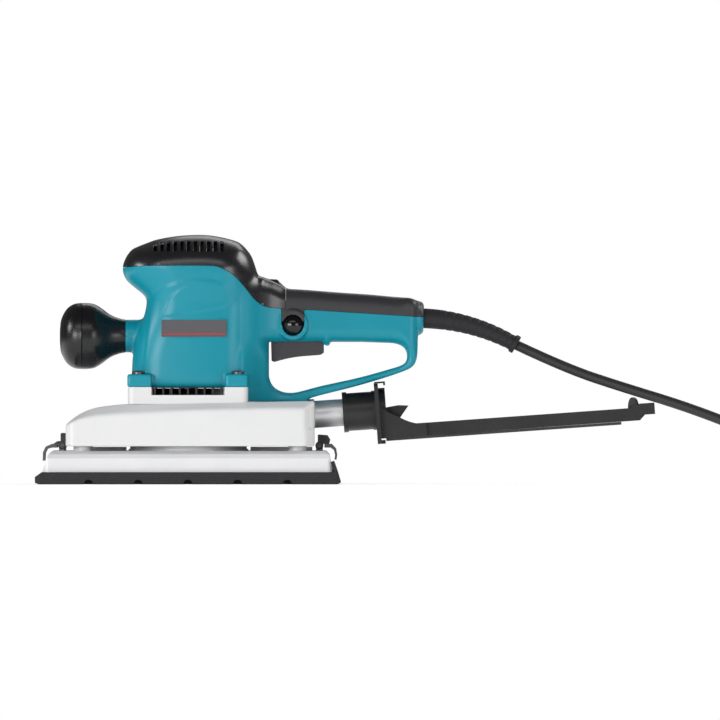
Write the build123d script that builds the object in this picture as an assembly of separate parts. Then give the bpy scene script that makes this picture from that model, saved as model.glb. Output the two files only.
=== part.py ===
"""Half-sheet orbital sander as separate parts, one STEP file per part in parts/.

Frame: millimetres, +Z up, +X from the front knob towards the cord, +Y to the user's right.
The origin is the motor axis where it meets the plane of the sanding face.
At rest the pad stands one orbit radius to +Y of the motor axis.
"""

import math
import os

from build123d import *

# ---- Driving dimensions -------------------------------------------------------------------
ORBIT_R = 1.2
RUN = 0.05
GAP = 0.6

PAD_LENGTH = 229.0
PAD_WIDTH = 115.0
PAD_TOP = 9.2
PLATE_TOP = 25.0
PLATE_HALF_WIDTH = 55.0
NOTCH_PITCH = 37.2
NOTCH_R = 3.6

COVER_FRONT = -91.5
COVER_REAR = 94.6
COVER_BOTTOM = 28.5
COVER_HALF_WIDTH = 52.5
COVER_WALL = 3.2
SHOULDER = 7.5

BLOCK_HALF = 45.0
BLOCK_BOTTOM = 60.2
BLOCK_LIP = 66.8
BLOCK_TOP = 72.8
BOSS_TOP = 82.5
SCREW_AT = 37.5
SCREW_R = 2.5

WALL = 2.7
GRIP_WALL = 3.0
KNOB_Z = 111.1
KNOB_FACE = -47.4

FAN_Z = (64.6, 71.8)
CORE_Z = (86.0, 116.0)
FIELD_R = 33.5
FIELD_BORE = 20.0
ARMATURE_R = 19.4
SHAFT_R = 6.0
TAIL_R = 4.0
SHAFT_TOP = 150.0
COMMUTATOR_Z = (126.0, 138.0)
COMMUTATOR_R = 12.0
LOWER_BEARING_Z = (49.5, 59.5)
UPPER_BEARING_Z = (142.0, 149.0)
JOURNAL_R = 7.5
JOURNAL_Z = (29.0, 41.6)
PAD_BEARING_Z = (29.5, 40.5)
HUB_R = 21.0
SKIRT_R = 45.0

CLAMP_HALF = 24.0
CLAMP_PIVOT_Z = 28.9
FRONT_PIVOT_X = -94.5
REAR_PIVOT_X = 98.3
PIN_R = 1.5

TRIGGER_PIVOT = (98.5, 107.8)
BUTTON_AT = (78.5, 119.4)
BUTTON_R = 7.4
DIAL_AT = (62.5, 144.8)
DIAL_R = 9.0
DIAL_HALF = 3.6

TUBE_R = 10.2
TUBE_TILT = 4.0
NOZZLE_AT = (116.0, 53.7)
CUFF_LENGTH = 24.5
ARM_LENGTH = 226.0

# Cover screws, as (place along X, height of the head's seat, length).
COVER_SCREWS = ((42.5, 170.0, 12.0), (158.5, 134.4, 6.0))

CORD_D = 7.5
CORD_Z = 124.5
COIL_CENTRE_X = 586.0
COIL_COLUMNS = 4
COIL_LAYERS = 2
COIL_INNER_TURN_R = 31.5
TURN_PITCH = 7.6
LAYER_PITCH = 6.6
PLUG_PINS_Y = (-9.5, 9.5)
PIN_R_MAINS = 2.4
PIN_ROOT_R = 1.8

# ---- Shared outlines ------------------------------------------------------------------------
# Motor trunk, as (height, front, rear, half width, corner radius) of level sections.
TRUNK = (
    (72.8, -42.6, 50.0, 38.5, 24.0),
    (96.0, -41.8, 50.0, 38.5, 24.0),
    (112.0, -38.4, 50.0, 38.0, 24.0),
    (125.0, -33.4, 50.0, 37.5, 24.0),
    (136.5, -31.2, 51.0, 38.0, 24.0),
    (146.0, -38.8, 52.0, 40.0, 26.0),
    (154.0, -47.0, 52.5, 41.5, 29.0),
    (161.0, -49.2, 51.0, 42.0, 30.0),
    (168.0, -48.4, 48.5, 41.5, 30.0),
    (175.0, -43.0, 43.5, 39.0, 28.0),
    (180.5, -31.0, 37.5, 33.0, 25.0),
    (184.5, -16.0, 27.0, 24.0, 19.0),
    (187.3, -2.0, 15.0, 10.0, 8.0),
)
# Grip, as (place along X, underside, top, half width, corner radius) of upright sections.
GRIP = (
    (46.0, 104.0, 168.0, 31.0, 18.0),
    (54.0, 104.0, 157.0, 27.0, 16.0),
    (63.0, 104.5, 151.0, 22.0, 13.0),
    (73.0, 105.5, 146.6, 18.5, 11.0),
    (90.0, 106.3, 145.3, 17.0, 11.0),
    (115.0, 106.5, 143.4, 16.5, 11.0),
    (140.0, 106.2, 141.6, 16.5, 11.0),
    (162.0, 104.5, 139.8, 16.0, 11.0),
    (176.6, 103.0, 136.6, 14.5, 11.0),
)
# Line between the teal shell and the black covers, front to rear.
SEAM_FRONT = ((-60.0, 163.2), (17.0, 163.7))
SEAM_BEND = ((17.0, 163.7), (31.0, 159.0), (42.0, 148.2), (51.5, 136.9), (62.0, 132.1))
SEAM_REAR = ((62.0, 132.1), (182.0, 125.0))
COVER_SEAM_X = 73.0
# Side and crown heights of the base cover at the same places along X.
COVER_X = (-91.5, -88.0, -78.0, -66.0, -45.0, -4.0, 44.5, 91.0, 94.6)
COVER_SIDE = (43.6, 46.0, 50.1, 51.8, 53.4, 55.9, 56.9, 57.2, 57.0)
COVER_CROWN = (44.8, 47.6, 54.0, 57.6, 59.9, 60.8, 61.5, 62.3, 61.6)
# Knob profile, as (place along X, radius).
KNOB_HEAD = ((-96.6, 0.0), (-95.6, 12.5), (-91.4, 20.3), (-86.0, 24.0), (-79.8, 24.9))
KNOB_NECK = ((-79.8, 24.9), (-72.5, 24.4), (-64.6, 20.3), (-58.0, 15.6), (-52.0, 13.2), (-47.4, 12.3))
CORD_ROUTE = (
    (246.5, 0.0, 104.2),
    (284.0, -5.0, 86.5),
    (327.0, -14.0, 72.3),
    (372.0, -24.0, 58.6),
    (418.0, -33.0, 41.0),
    (462.0, -42.0, 22.0),
    (505.0, -49.0, 8.0),
    (545.0, -53.0, 3.8),
    (586.0, -54.3, 3.8),
)


# ---- Helpers ----------------------------------------------------------------------------------
def face_of(points, radius=0.0):
    """A flat outline through points, with its corners rounded."""
    if radius:
        return make_face(FilletPolyline(*points, radius=radius, close=True))
    return make_face(Polyline(*points, close=True))


def xz_prism(face, y_low, y_high):
    """An XZ outline made solid from y_low to y_high."""
    return extrude(Plane.XZ.offset(-y_high) * face, y_high - y_low)


def xy_prism(face, z_low, z_high):
    """A plan outline made solid from z_low to z_high."""
    return extrude(Plane.XY.offset(z_low) * face, z_high - z_low)


def block(x_low, x_high, y_low, y_high, z_low, z_high):
    """A box between two opposite corners."""
    centre = Pos((x_low + x_high) / 2, (y_low + y_high) / 2, (z_low + z_high) / 2)
    return centre * Box(x_high - x_low, y_high - y_low, z_high - z_low)


def rod_z(radius, z_low, z_high, x=0.0, y=0.0):
    """An upright cylinder."""
    return Pos(x, y, (z_low + z_high) / 2) * Cylinder(radius, z_high - z_low)


def rod_x(radius, x_low, x_high, y=0.0, z=0.0):
    """A cylinder along X."""
    return Pos((x_low + x_high) / 2, y, z) * Rot(0, 90, 0) * Cylinder(radius, x_high - x_low)


def rod_y(radius, y_low, y_high, x=0.0, z=0.0):
    """A cylinder along Y."""
    return Pos(x, (y_low + y_high) / 2, z) * Rot(90, 0, 0) * Cylinder(radius, y_high - y_low)


def ring_z(outer, inner, z_low, z_high, x=0.0, y=0.0):
    """An upright tube."""
    return rod_z(outer, z_low, z_high, x, y) - rod_z(inner, z_low - 1, z_high + 1, x, y)


def mirrored_y(shape):
    """The shape and its mirror image across the XZ plane."""
    return [shape, mirror(shape, Plane.XZ)]


def on_pad(shape):
    """Moves a part drawn about the pad's own axis to where the pad rests."""
    return Pos(0, ORBIT_R, 0) * shape


def in_nozzle(shape):
    """Moves a part drawn about the outlet axis, with x = 0 at the cuff's mouth, to its place."""
    return Pos(NOZZLE_AT[0], 0, NOZZLE_AT[1]) * Rot(0, -TUBE_TILT, 0) * shape


# ---- Outer forms --------------------------------------------------------------------------------
def trunk_form(inset=0.0, z_low=-1000.0, z_high=1000.0):
    """The upright body as a loft of level sections, shrunk by inset."""
    sections = []
    for z, front, rear, half, corner in TRUNK:
        if z_low <= z <= z_high:
            length = rear - front - 2 * inset
            outline = RectangleRounded(length, 2 * (half - inset), corner - inset)
            sections.append(Pos((front + rear) / 2, 0, z) * outline)
    return loft(sections, ruled=True)


def grip_form(inset=0.0, x_low=-1000.0, x_high=1000.0):
    """The handle as a loft of upright sections, shrunk by inset."""
    sections = []
    for x, under, top, half, corner in GRIP:
        if x_low <= x <= x_high:
            outline = RectangleRounded(2 * (half - inset), top - under - 2 * inset, corner - inset)
            plane = Plane(origin=(x, 0, (under + top) / 2), x_dir=(0, 1, 0), z_dir=(1, 0, 0))
            sections.append(plane * outline)
    return loft(sections)


def leg_form():
    """The rear leg that stands on the base cover behind the fan housing."""
    side = face_of(((36, 72.8), (45.2, 72.8), (45.2, 61.8), (89, 61.9), (84, 68), (66, 72), (60.4, 82),
                    (60.4, 112), (36, 112)))
    plan = face_of(((30, -31), (44, -31), (62, -19), (76, -12), (92, -12), (92, 12), (76, 12), (62, 19),
                    (44, 31), (30, 31)))
    return xz_prism(side, -40, 40) & xy_prism(plan, 50, 120)


def loop_form():
    """The lower bar and the rear column of the D-handle."""
    outer = ((58, 63), (88, 62.4), (91.2, 64.2), (168, 84.8), (174.5, 92), (176.0, 112), (172.2, 128),
             (150, 128), (150, 105), (64, 105))
    hole = ((60.4, 110), (60.4, 74), (75, 66.4), (163.8, 89.8), (163.8, 106), (150, 106), (150, 110))
    bar = face_of(outer, (0, 0, 4, 16, 12, 3, 0, 0, 0, 0)) - face_of(hole, (0, 12, 10, 9, 9, 0, 0))
    inside = xz_prism(bar, -12, 12)
    lip = face_of(((99, 112), (99, 103.6), (105.6, 103.6), (107.5, 112)), (0, 1.2, 1.2, 0))
    return inside - block(40, 150, -20, 20, 100, 130) + xz_prism(lip, -12, 12)


def body_form():
    """The whole moulded body before it is split into shell and covers."""
    form = trunk_form() + grip_form() + leg_form() + loop_form()
    form += rod_x(12.3, KNOB_FACE, -30, z=KNOB_Z)
    form += rod_x(12.6, 168, 176.8, z=CORD_Z)
    for x in (-SCREW_AT, SCREW_AT):
        for y in (-SCREW_AT, SCREW_AT):
            form += block(x - 8.0, x + 7.4, y - 7.5, y + 7.5, BLOCK_TOP, BOSS_TOP)
    x, z = BUTTON_AT
    form += rod_y(11.6, -19.4, -10, x=x, z=z)
    form -= in_nozzle(rod_x(11.7, -60, 0))
    return form - cover_form(-RUN)


def shell_zone():
    """Everything below the line between the shell and its covers."""
    line = [Line(*SEAM_FRONT), Spline(*SEAM_BEND, tangents=((1, 0), (1, -0.06))), Line(*SEAM_REAR)]
    rest = Polyline(SEAM_REAR[1], (182, 40), (-60, 40), SEAM_FRONT[0])
    return xz_prism(make_face(line + [rest]), -60, 60)


def tongue_form():
    """The black tongue of the handle cover beside the lock button."""
    x, z = BUTTON_AT
    return block(x - 8.3, x + 8.3, -19.8, -15.4, z, z + 13)


def body_cavity():
    """The hollow inside of the body, with the seat of the stator narrower."""
    hollow = trunk_form(WALL) - block(-60, 60, -60, 60, 84, 118)
    hollow += rod_z(FIELD_R, 80, 120)
    hollow += grip_form(GRIP_WALL, 46, 162)
    hollow += block(40, 57.4, -15, 15, 66, 108)
    return hollow


# ---- Shell, covers and front knob ----------------------------------------------------------------
def bearing_bracket():
    """The cross arm and cup that carry the boot of the upper bearing."""
    low, high = UPPER_BEARING_Z
    arms = block(-44, 0, -3.5, 3.5, low + 1, high + 1) + block(-3.5, 3.5, -42, 42, low + 1, high + 1)
    cup = rod_z(16.5, low - 1, high + 3)
    return arms + cup - rod_z(13.6, low - 2, high + 4)


def motor_housing(form, zone, cavity):
    """The teal shell."""
    shell = (form & zone) - cavity
    shell += bearing_bracket() & trunk_form(WALL / 2)
    shell -= tongue_form()
    x, z = BUTTON_AT
    shell -= rod_y(BUTTON_R + RUN, -25, -8, x=x, z=z)
    shell -= rod_y(8.8, -15.3, -8, x=x, z=z)
    shell -= block(61.2, 102.6, -8.8, 8.8, 90, 122)
    shell -= rod_y(1.4 + RUN, -11.2, 11.2, x=TRIGGER_PIVOT[0], z=TRIGGER_PIVOT[1])
    shell -= rod_x(4.0, -60, -28, z=KNOB_Z)
    shell -= rod_x(7.6, 160, 190, z=CORD_Z)
    shell -= rod_x(9.7, 163.5, 168.2, z=CORD_Z)
    for sx in (-SCREW_AT, SCREW_AT):
        for sy in (-SCREW_AT, SCREW_AT):
            shell -= rod_z(SCREW_R, 60, 90, sx, sy) + rod_z(4.8, BOSS_TOP, 95, sx, sy)
    return shell


def vent_slots():
    """Eleven air slots through each shoulder of the top cover."""
    slots = []
    for index in range(11):
        x = -25.8 + 2.0 + 5.0 * index
        for side in (-1, 1):
            slots.append(Pos(x, side * 34, 179.5) * Box(2.6, 26, 8.5))
    return slots


def top_cover(form, zone, cavity):
    """The glossy black cap of the motor trunk."""
    cap = form - zone - cavity - block(COVER_SEAM_X, 200, -60, 60, 90, 200)
    cap -= vent_slots()
    cap -= block(DIAL_AT[0] - 10, DIAL_AT[0] + 10, -DIAL_HALF - GAP, DIAL_HALF + GAP, 132, 160)
    hood = face_of(((54, 148.3), (54, 155), (60, 153), (66.5, 152.6), (COVER_SEAM_X, 146.4),
                    (COVER_SEAM_X, 145), (66, 148.3)))
    cap += mirrored_y(xz_prism(hood, DIAL_HALF + GAP, DIAL_HALF + 3))
    cap += block(-38, 30, -1, 1, 168, 190) & trunk_form(1.0)
    cap += screw_post(*COVER_SCREWS[0]) & trunk_form(1.0)
    return cap - screw_room(*COVER_SCREWS[0]) - tongue_form()


def handle_cover(form, zone, cavity):
    """The matt black upper half of the handle."""
    cover = form - zone - cavity - block(-80, COVER_SEAM_X, -60, 60, 60, 200)
    cover += tongue_form()
    x, z = BUTTON_AT
    cover -= rod_y(BUTTON_R + RUN, -25, -8, x=x, z=z)
    cover -= rod_x(7.6, 160, 190, z=CORD_Z)
    cover -= rod_x(9.7, 163.5, 168.2, z=CORD_Z)
    cover += screw_post(*COVER_SCREWS[1]) & grip_form(1.0)
    return cover - screw_room(*COVER_SCREWS[1]) - rod_y(8.8, -15.3, -8, x=x, z=z)


def badges():
    """Plain plates on both sides of the trunk."""
    plate = block(-19.9, 28.9, -39.4, -38.2, 110.4, 123.1)
    return [fillet(p.edges().filter_by(Axis.Y), 0.8) for p in mirrored_y(plate)]


def knob_solid(points):
    """A turned solid about the knob axis, from its side profile to the axis."""
    axis = [(points[-1][0], 0.0)]
    if points[0][1] > 0:
        axis.append((points[0][0], 0.0))
    profile = make_face([Spline(*points), Polyline(points[-1], *axis, points[0])])
    return Pos(0, 0, KNOB_Z) * revolve(Plane.XZ * profile, Axis.X)


def knob_cap():
    """The end cap of the ball knob."""
    cap = knob_solid(KNOB_HEAD)
    return cap - rod_x(16, -90, -79, z=KNOB_Z)


def knob_body():
    """The ball knob, hollowed for the bolt head under its cap."""
    body = knob_solid(KNOB_NECK)
    body -= rod_x(16, -80, -70, z=KNOB_Z)
    return body - rod_x(4.0, -72, -40, z=KNOB_Z)


def knob_bolt():
    """The bolt that holds the knob to the housing."""
    head = Pos(-70, 0, KNOB_Z) * Rot(0, -90, 0) * extrude(RegularPolygon(7.2, 6), 5)
    return head + rod_x(4.0, -71, -34.2, z=KNOB_Z)


# ---- Base and fan housing -------------------------------------------------------------------------
def cover_outline(heights, inset=0.0):
    """One side outline of the base cover."""
    crown = [(x, z - inset) for x, z in zip(COVER_X, heights)]
    crown[0] = (crown[0][0] + inset, crown[0][1])
    crown[-1] = (crown[-1][0] - inset, crown[-1][1])
    bottom = COVER_BOTTOM - inset
    sides = Polyline(crown[-1], (crown[-1][0], bottom), (crown[0][0], bottom), crown[0])
    return make_face([Spline(*crown), sides])


def cover_form(inset=0.0):
    """The base cover's outer form, lower along its sides than along its crown."""
    half = COVER_HALF_WIDTH - inset
    side = cover_outline(COVER_SIDE, inset)
    crown = cover_outline(COVER_CROWN, inset)
    middle = xz_prism(crown, -half + SHOULDER, half - SHOULDER)
    flank = loft([Plane.XZ.offset(half - SHOULDER) * crown, Plane.XZ.offset(half) * side], ruled=True)
    form = middle + mirrored_y(flank)
    front, rear = COVER_FRONT + inset, COVER_REAR - inset
    plan = ((front, -half), (rear, -half), (rear, half), (front, half))
    return form & xy_prism(face_of(plan, (10, 7, 7, 10)), 20, 70)


def clamp_recess(grow=0.0):
    """The two end pockets of the base cover, in which the clamp levers move."""
    half = CLAMP_HALF + 3.5 + grow
    front = block(-110, -81.0 + grow, -half, half, 20, 42.0 + grow)
    rear = block(85.5 - grow, 110, -half, half, 20, 42.0 + grow)
    return [front, rear]


def base_cover():
    """The cast cover over the crank."""
    inner = cover_form(COVER_WALL)
    for pocket in clamp_recess(COVER_WALL):
        inner -= pocket
    hub = rod_z(20.0, 48.0, 62.0)
    for x in (-SCREW_AT, SCREW_AT):
        for y in (-SCREW_AT, SCREW_AT):
            hub += rod_z(6.0, 50.0, 62.0, x, y)
    cover = cover_form() - (inner - hub)
    for pocket in clamp_recess():
        cover -= pocket
    cover += in_nozzle(rod_x(11.5, -32, -24)) & block(80, COVER_REAR, -15, 15, 30, 70)
    cover -= block(-BLOCK_HALF, BLOCK_HALF, -BLOCK_HALF, BLOCK_HALF, BLOCK_BOTTOM, 70)
    cover -= rod_z(16.0, *LOWER_BEARING_Z) + rod_z(12.0, 40, 70)
    cover -= in_nozzle(rod_x(TUBE_R, -40, 0))
    for x in (-SCREW_AT, SCREW_AT):
        for y in (-SCREW_AT, SCREW_AT):
            cover -= rod_z(SCREW_R, 52, 80, x, y)
    return cover


def fan_housing():
    """The cast block round the fan, with vents between its corner bosses."""
    outline = RectangleRounded(2 * BLOCK_HALF, 2 * BLOCK_HALF, 4)
    casting = xy_prism(outline, BLOCK_BOTTOM, BLOCK_TOP)
    casting -= rod_z(40.0, 63.2, 80)
    casting -= rod_z(14.0, 50, 70)
    vent = block(-27.4, 27.4, 30, 60, BLOCK_LIP, 80)
    for quarter in range(4):
        casting -= Rot(0, 0, 90 * quarter) * vent
    for x in (-SCREW_AT, SCREW_AT):
        for y in (-SCREW_AT, SCREW_AT):
            casting += rod_z(6.4, BLOCK_BOTTOM, BLOCK_TOP, x, y) - rod_z(40.0, 63.2, 80)
            casting -= rod_z(SCREW_R, 50, 80, x, y)
    return casting


def fan_baffle():
    """The ring that guides air from the motor into the fan, with a comb in each side vent."""
    comb = block(-26, 26, 31, 42.4, 72.1, 72.7) + block(-12, 12, 31, 34.4, 72.1, 73.4)
    for index in range(-4, 5):
        x = 6.2 * index
        comb += block(x - 0.7, x + 0.7, 40.8, 42.4, BLOCK_LIP + 0.1, 72.4)
    ring = ring_z(35.2, 22.0, 73.2, 75.2)
    return ring + comb + mirror(comb, Plane.XZ)


def outlet_tube():
    """The steel dust outlet."""
    return in_nozzle(rod_x(TUBE_R, -27.5, 19) - rod_x(TUBE_R - 1.4, -40, 30))


def housing_screws():
    """Four long screws through bosses, fan housing and base cover."""
    screws = []
    for x in (-SCREW_AT, SCREW_AT):
        for y in (-SCREW_AT, SCREW_AT):
            head = fillet(rod_z(4.4, BOSS_TOP, BOSS_TOP + 2.6, x, y).edges().sort_by(Axis.Z)[-1], 1.2)
            cross = block(x - 2.2, x + 2.2, y - 0.5, y + 0.5, BOSS_TOP + 1.3, BOSS_TOP + 4)
            cross += block(x - 0.5, x + 0.5, y - 2.2, y + 2.2, BOSS_TOP + 1.3, BOSS_TOP + 4)
            screws.append(head + rod_z(SCREW_R, 54, BOSS_TOP + 0.5, x, y) - cross)
    return screws


def cover_screws():
    """The screws of the top cover and of the handle cover."""
    screws = []
    for x, seat, length in COVER_SCREWS:
        head = rod_z(3.6, seat, seat + 2.4, x) - block(x - 2.4, x + 2.4, -0.5, 0.5, seat + 1.2, seat + 4)
        screws.append(head + rod_z(1.9, seat - length, seat + 0.5, x))
    return screws


def screw_post(x, seat, length):
    """The post of a cover round its screw."""
    return rod_z(5.0, seat - length, seat + 4, x)


def screw_room(x, seat, length):
    """The room for a cover screw and its head."""
    return rod_z(4.2, seat, seat + 30, x) + rod_z(1.9, seat - length - 1, seat + 1, x)


# ---- Motor ------------------------------------------------------------------------------------
def field_core():
    """The stator stack."""
    low, high = CORE_Z
    core = ring_z(FIELD_R, FIELD_BORE, low, high)
    for side in (-1, 1):
        core -= block(-7, 7, side * 24 - 5, side * 24 + 5, low - 1, high + 1)
    return core


def field_coils():
    """The end turns of the two field windings, above and below the stack."""
    low, high = CORE_Z
    turns = []
    for z_low, z_high in ((low - 8.5, low), (high, high + 8.5)):
        ring = ring_z(30.2, 21.5, z_low, z_high)
        for side in (-1, 1):
            part = ring & block(min(2 * side, 40 * side), max(2 * side, 40 * side), -40, 40, 60, 140)
            turns.append(part)
    return turns


def bearing(outer, bore, z_low, z_high, y=0.0):
    """A shielded ball bearing as one ring with sunk shields."""
    ring = ring_z(outer, bore, z_low, z_high, y=y)
    middle = (outer + bore) / 2
    width = (outer - bore) / 4
    for low, high in ((z_low - 1, z_low + 0.5), (z_high - 0.5, z_high + 1)):
        ring -= ring_z(middle + width, middle - width, low, high, y=y)
    return ring


def brush_holders():
    """Two brass boxes that guide the brushes."""
    low, high = COMMUTATOR_Z
    box = block(-4.6, 4.6, COMMUTATOR_R + 1.2, 33.0, low + 1.4, high - 1.4)
    box -= block(-3.2, 3.2, 0, 31.8, low + 2.8, high - 2.8)
    return mirrored_y(box)


def carbon_brushes():
    """Two carbon brushes that end just clear of the commutator."""
    low, high = COMMUTATOR_Z
    brush = block(-3.1, 3.1, COMMUTATOR_R - 1, 25.0, low + 3.0, high - 3.0)
    brush -= rod_z(COMMUTATOR_R + RUN, low, high)
    return mirrored_y(brush)


def brush_springs():
    """The springs behind the brushes, drawn as sleeves."""
    low, high = COMMUTATOR_Z
    z = (low + high) / 2
    return mirrored_y(rod_y(2.6, 25.0, 31.7, z=z) - rod_y(1.7, 20, 40, z=z))


def armature_shaft():
    """The stepped motor shaft."""
    shaft = rod_z(SHAFT_R, JOURNAL_Z[1], COMMUTATOR_Z[1] + 2)
    shaft += rod_z(5.0, JOURNAL_Z[0], JOURNAL_Z[1] + 1)
    return shaft + rod_z(TAIL_R, COMMUTATOR_Z[1] + 1, SHAFT_TOP)


def armature_core():
    """The slotted rotor stack."""
    low, high = CORE_Z
    core = ring_z(ARMATURE_R, SHAFT_R, low, high)
    for index in range(12):
        core -= Rot(0, 0, 30 * index) * block(15.5, 21, -0.9, 0.9, low - 1, high + 1)
    return core


def armature_windings():
    """The wound ends of the rotor."""
    low, high = CORE_Z
    lower = ring_z(17.5, SHAFT_R, low - 8, low)
    upper = ring_z(17.5, SHAFT_R, high, high + 8.5)
    lower = chamfer(lower.edges().group_by(Axis.Z)[0].sort_by(SortBy.LENGTH)[-1], 3)
    upper = chamfer(upper.edges().group_by(Axis.Z)[-1].sort_by(SortBy.LENGTH)[-1], 3)
    return [lower, upper]


def commutator():
    """The copper commutator with its slots."""
    low, high = COMMUTATOR_Z
    ring = ring_z(COMMUTATOR_R, SHAFT_R, low, high)
    for index in range(24):
        ring -= Rot(0, 0, 15 * index) * block(11.2, 13, -0.25, 0.25, low - 1, high + 1)
    return ring


def cooling_fan():
    """The fan on the shaft, a disc with nine blades below it."""
    low, high = FAN_Z
    fan = ring_z(37.5, SHAFT_R, low, low + 1.6) + ring_z(10.0, SHAFT_R, low, high)
    for index in range(9):
        blade = Pos(24, 0, (low + high) / 2) * Rot(0, 0, 24) * Box(24, 1.6, high - low)
        fan += Rot(0, 0, 40 * index) * blade
    return fan & rod_z(37.5, low, high)


def counterweight():
    """The weight that balances the pad, on the side away from the crank."""
    disc = ring_z(36.0, SHAFT_R, 42.6, 47.4)
    cut = block(-40, 40, -5, 40, 40, 50) - rod_z(11, 40, 50)
    return disc - cut


def eccentric():
    """The crank sleeve whose outside is one orbit radius off the shaft axis."""
    low, high = JOURNAL_Z
    return rod_z(JOURNAL_R, low, high, y=ORBIT_R) - rod_z(5.0, low - 1, high + 1)


# ---- Electrical parts ----------------------------------------------------------------------------
def switch_body():
    """The switch in the handle."""
    case = block(66.5, 99, -9.4, 9.4, 122.4, 134.5)
    case = fillet(case.edges().filter_by(Axis.Z), 1.5)
    for x in (72, 80, 88):
        case += block(x - 2, x + 2, -3, 3, 134, 137.5)
    return case


def speed_controller():
    """The speed module with the two ears that carry the dial."""
    module = block(50, 65.5, -12, 12, 122.5, 135.0)
    x, z = DIAL_AT
    for side in (-1, 1):
        low, high = sorted((side * (DIAL_HALF + GAP), side * (DIAL_HALF + 2.9)))
        module += block(x - 4, x + 2.9, low, high, 134, 147) - rod_y(2.0 + RUN, -12, 12, x=x, z=z)
    return module - rod_y(DIAL_R + GAP, -DIAL_HALF - GAP, DIAL_HALF + GAP, x=x, z=z)


def capacitor():
    """The suppressor capacitor."""
    can = rod_x(6.5, 106, 128, z=121)
    return fillet(can.edges().filter_by(GeomType.CIRCLE), 1.0)


def switch_springs():
    """The return springs of trigger and lock button, drawn as sleeves inside their pockets."""
    x, z = BUTTON_AT
    button = rod_y(2.4, -16.0, -9.9, x=x, z=z) - rod_y(1.6, -30, 0, x=x, z=z)
    trigger_spring = rod_z(3.0, 108.5, 122.3, 71, 0) - rod_z(2.2, 100, 130, 71, 0)
    return [button, trigger_spring]


def lead_wires():
    """The cable end in the handle and four leads between switch, controller and motor."""
    wires = [rod_x(CORD_D / 2 - 0.1, 134, 161.8, z=CORD_Z - 0.3)]
    for y in (-3.2, 3.2):
        wires.append(rod_x(1.2, 99.2, 133.8, y=y, z=131.5))
        wires.append(rod_z(1.2, 125, 158, 36, y * 3) + rod_x(1.2, 36, 49.9, y * 3, 130))
    return wires


def cord_clamp():
    """The bridge that holds the cable sheath."""
    bridge = block(145, 153, -11, 11, 124.4, 131.5)
    bridge -= rod_x(CORD_D / 2, 140, 160, z=CORD_Z - 0.3)
    for y in (-7.6, 7.6):
        bridge -= rod_z(1.5, 120, 135, 149, y)
    return bridge


def clamp_screws():
    """The two screws of the cable bridge."""
    screws = []
    for y in (-7.6, 7.6):
        screws.append(rod_z(1.5, 117, 131.6, 149, y) + rod_z(2.9, 131.5, 133.3, 149, y))
    return screws


def cord_guard():
    """The tapered guard round the cable, bent with it."""
    start, end = Vector(168.2, 0, CORD_Z), Vector(246.5, 0, 104.2)
    path = ThreePointArc(start, Vector(209, 0, 119.6), end)
    stations = ((0.0, 7.5), (0.25, 7.3), (0.55, 6.7), (0.8, 6.1), (0.955, 5.75))
    sections = []
    for share, radius in stations:
        sections.append(Plane(path.location_at(share)) * Circle(radius))
    guard = loft(sections)
    rim = Plane(path.location_at(0.955)) * Circle(7.0)
    guard += loft([rim, Plane(path.location_at(1.0)) * Circle(7.0)])
    return guard + rod_x(9.5, 163.6, 168.2, z=CORD_Z) - rod_x(CORD_D / 2 + 0.1, 150, 172, z=CORD_Z - 0.2)


# ---- Pad ------------------------------------------------------------------------------------------
def dust_holes():
    """Places of the dust holes at the ends of the side grooves."""
    return [(index * NOTCH_PITCH, side * 36.0) for index in range(-2, 3) for side in (-1, 1)]


def backing_pad():
    """The rubber pad, with a turned-up rear edge and half-round side grooves."""
    side = face_of(((-111.5, 0), (-114.5, 1.3), (-114.5, 5.6), (-109.3, PAD_TOP), (109.4, PAD_TOP), (107.0, 16.4),
                    (109.4, 17.2), (112.2, PAD_TOP), (114.5, 1.4), (111.8, 0)))
    half = PAD_WIDTH / 2
    outline = RectangleRounded(PAD_LENGTH, PAD_WIDTH, 4)
    pad = xz_prism(side, -half, half) & xy_prism(outline, -1, 20)
    for x, y in dust_holes():
        low, high = sorted((y, math.copysign(half + 1, y)))
        pad -= rod_y(NOTCH_R, low, high, x=x)
        pad -= rod_z(4.0, -1, 20, x, y)
    return on_pad(pad)


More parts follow.
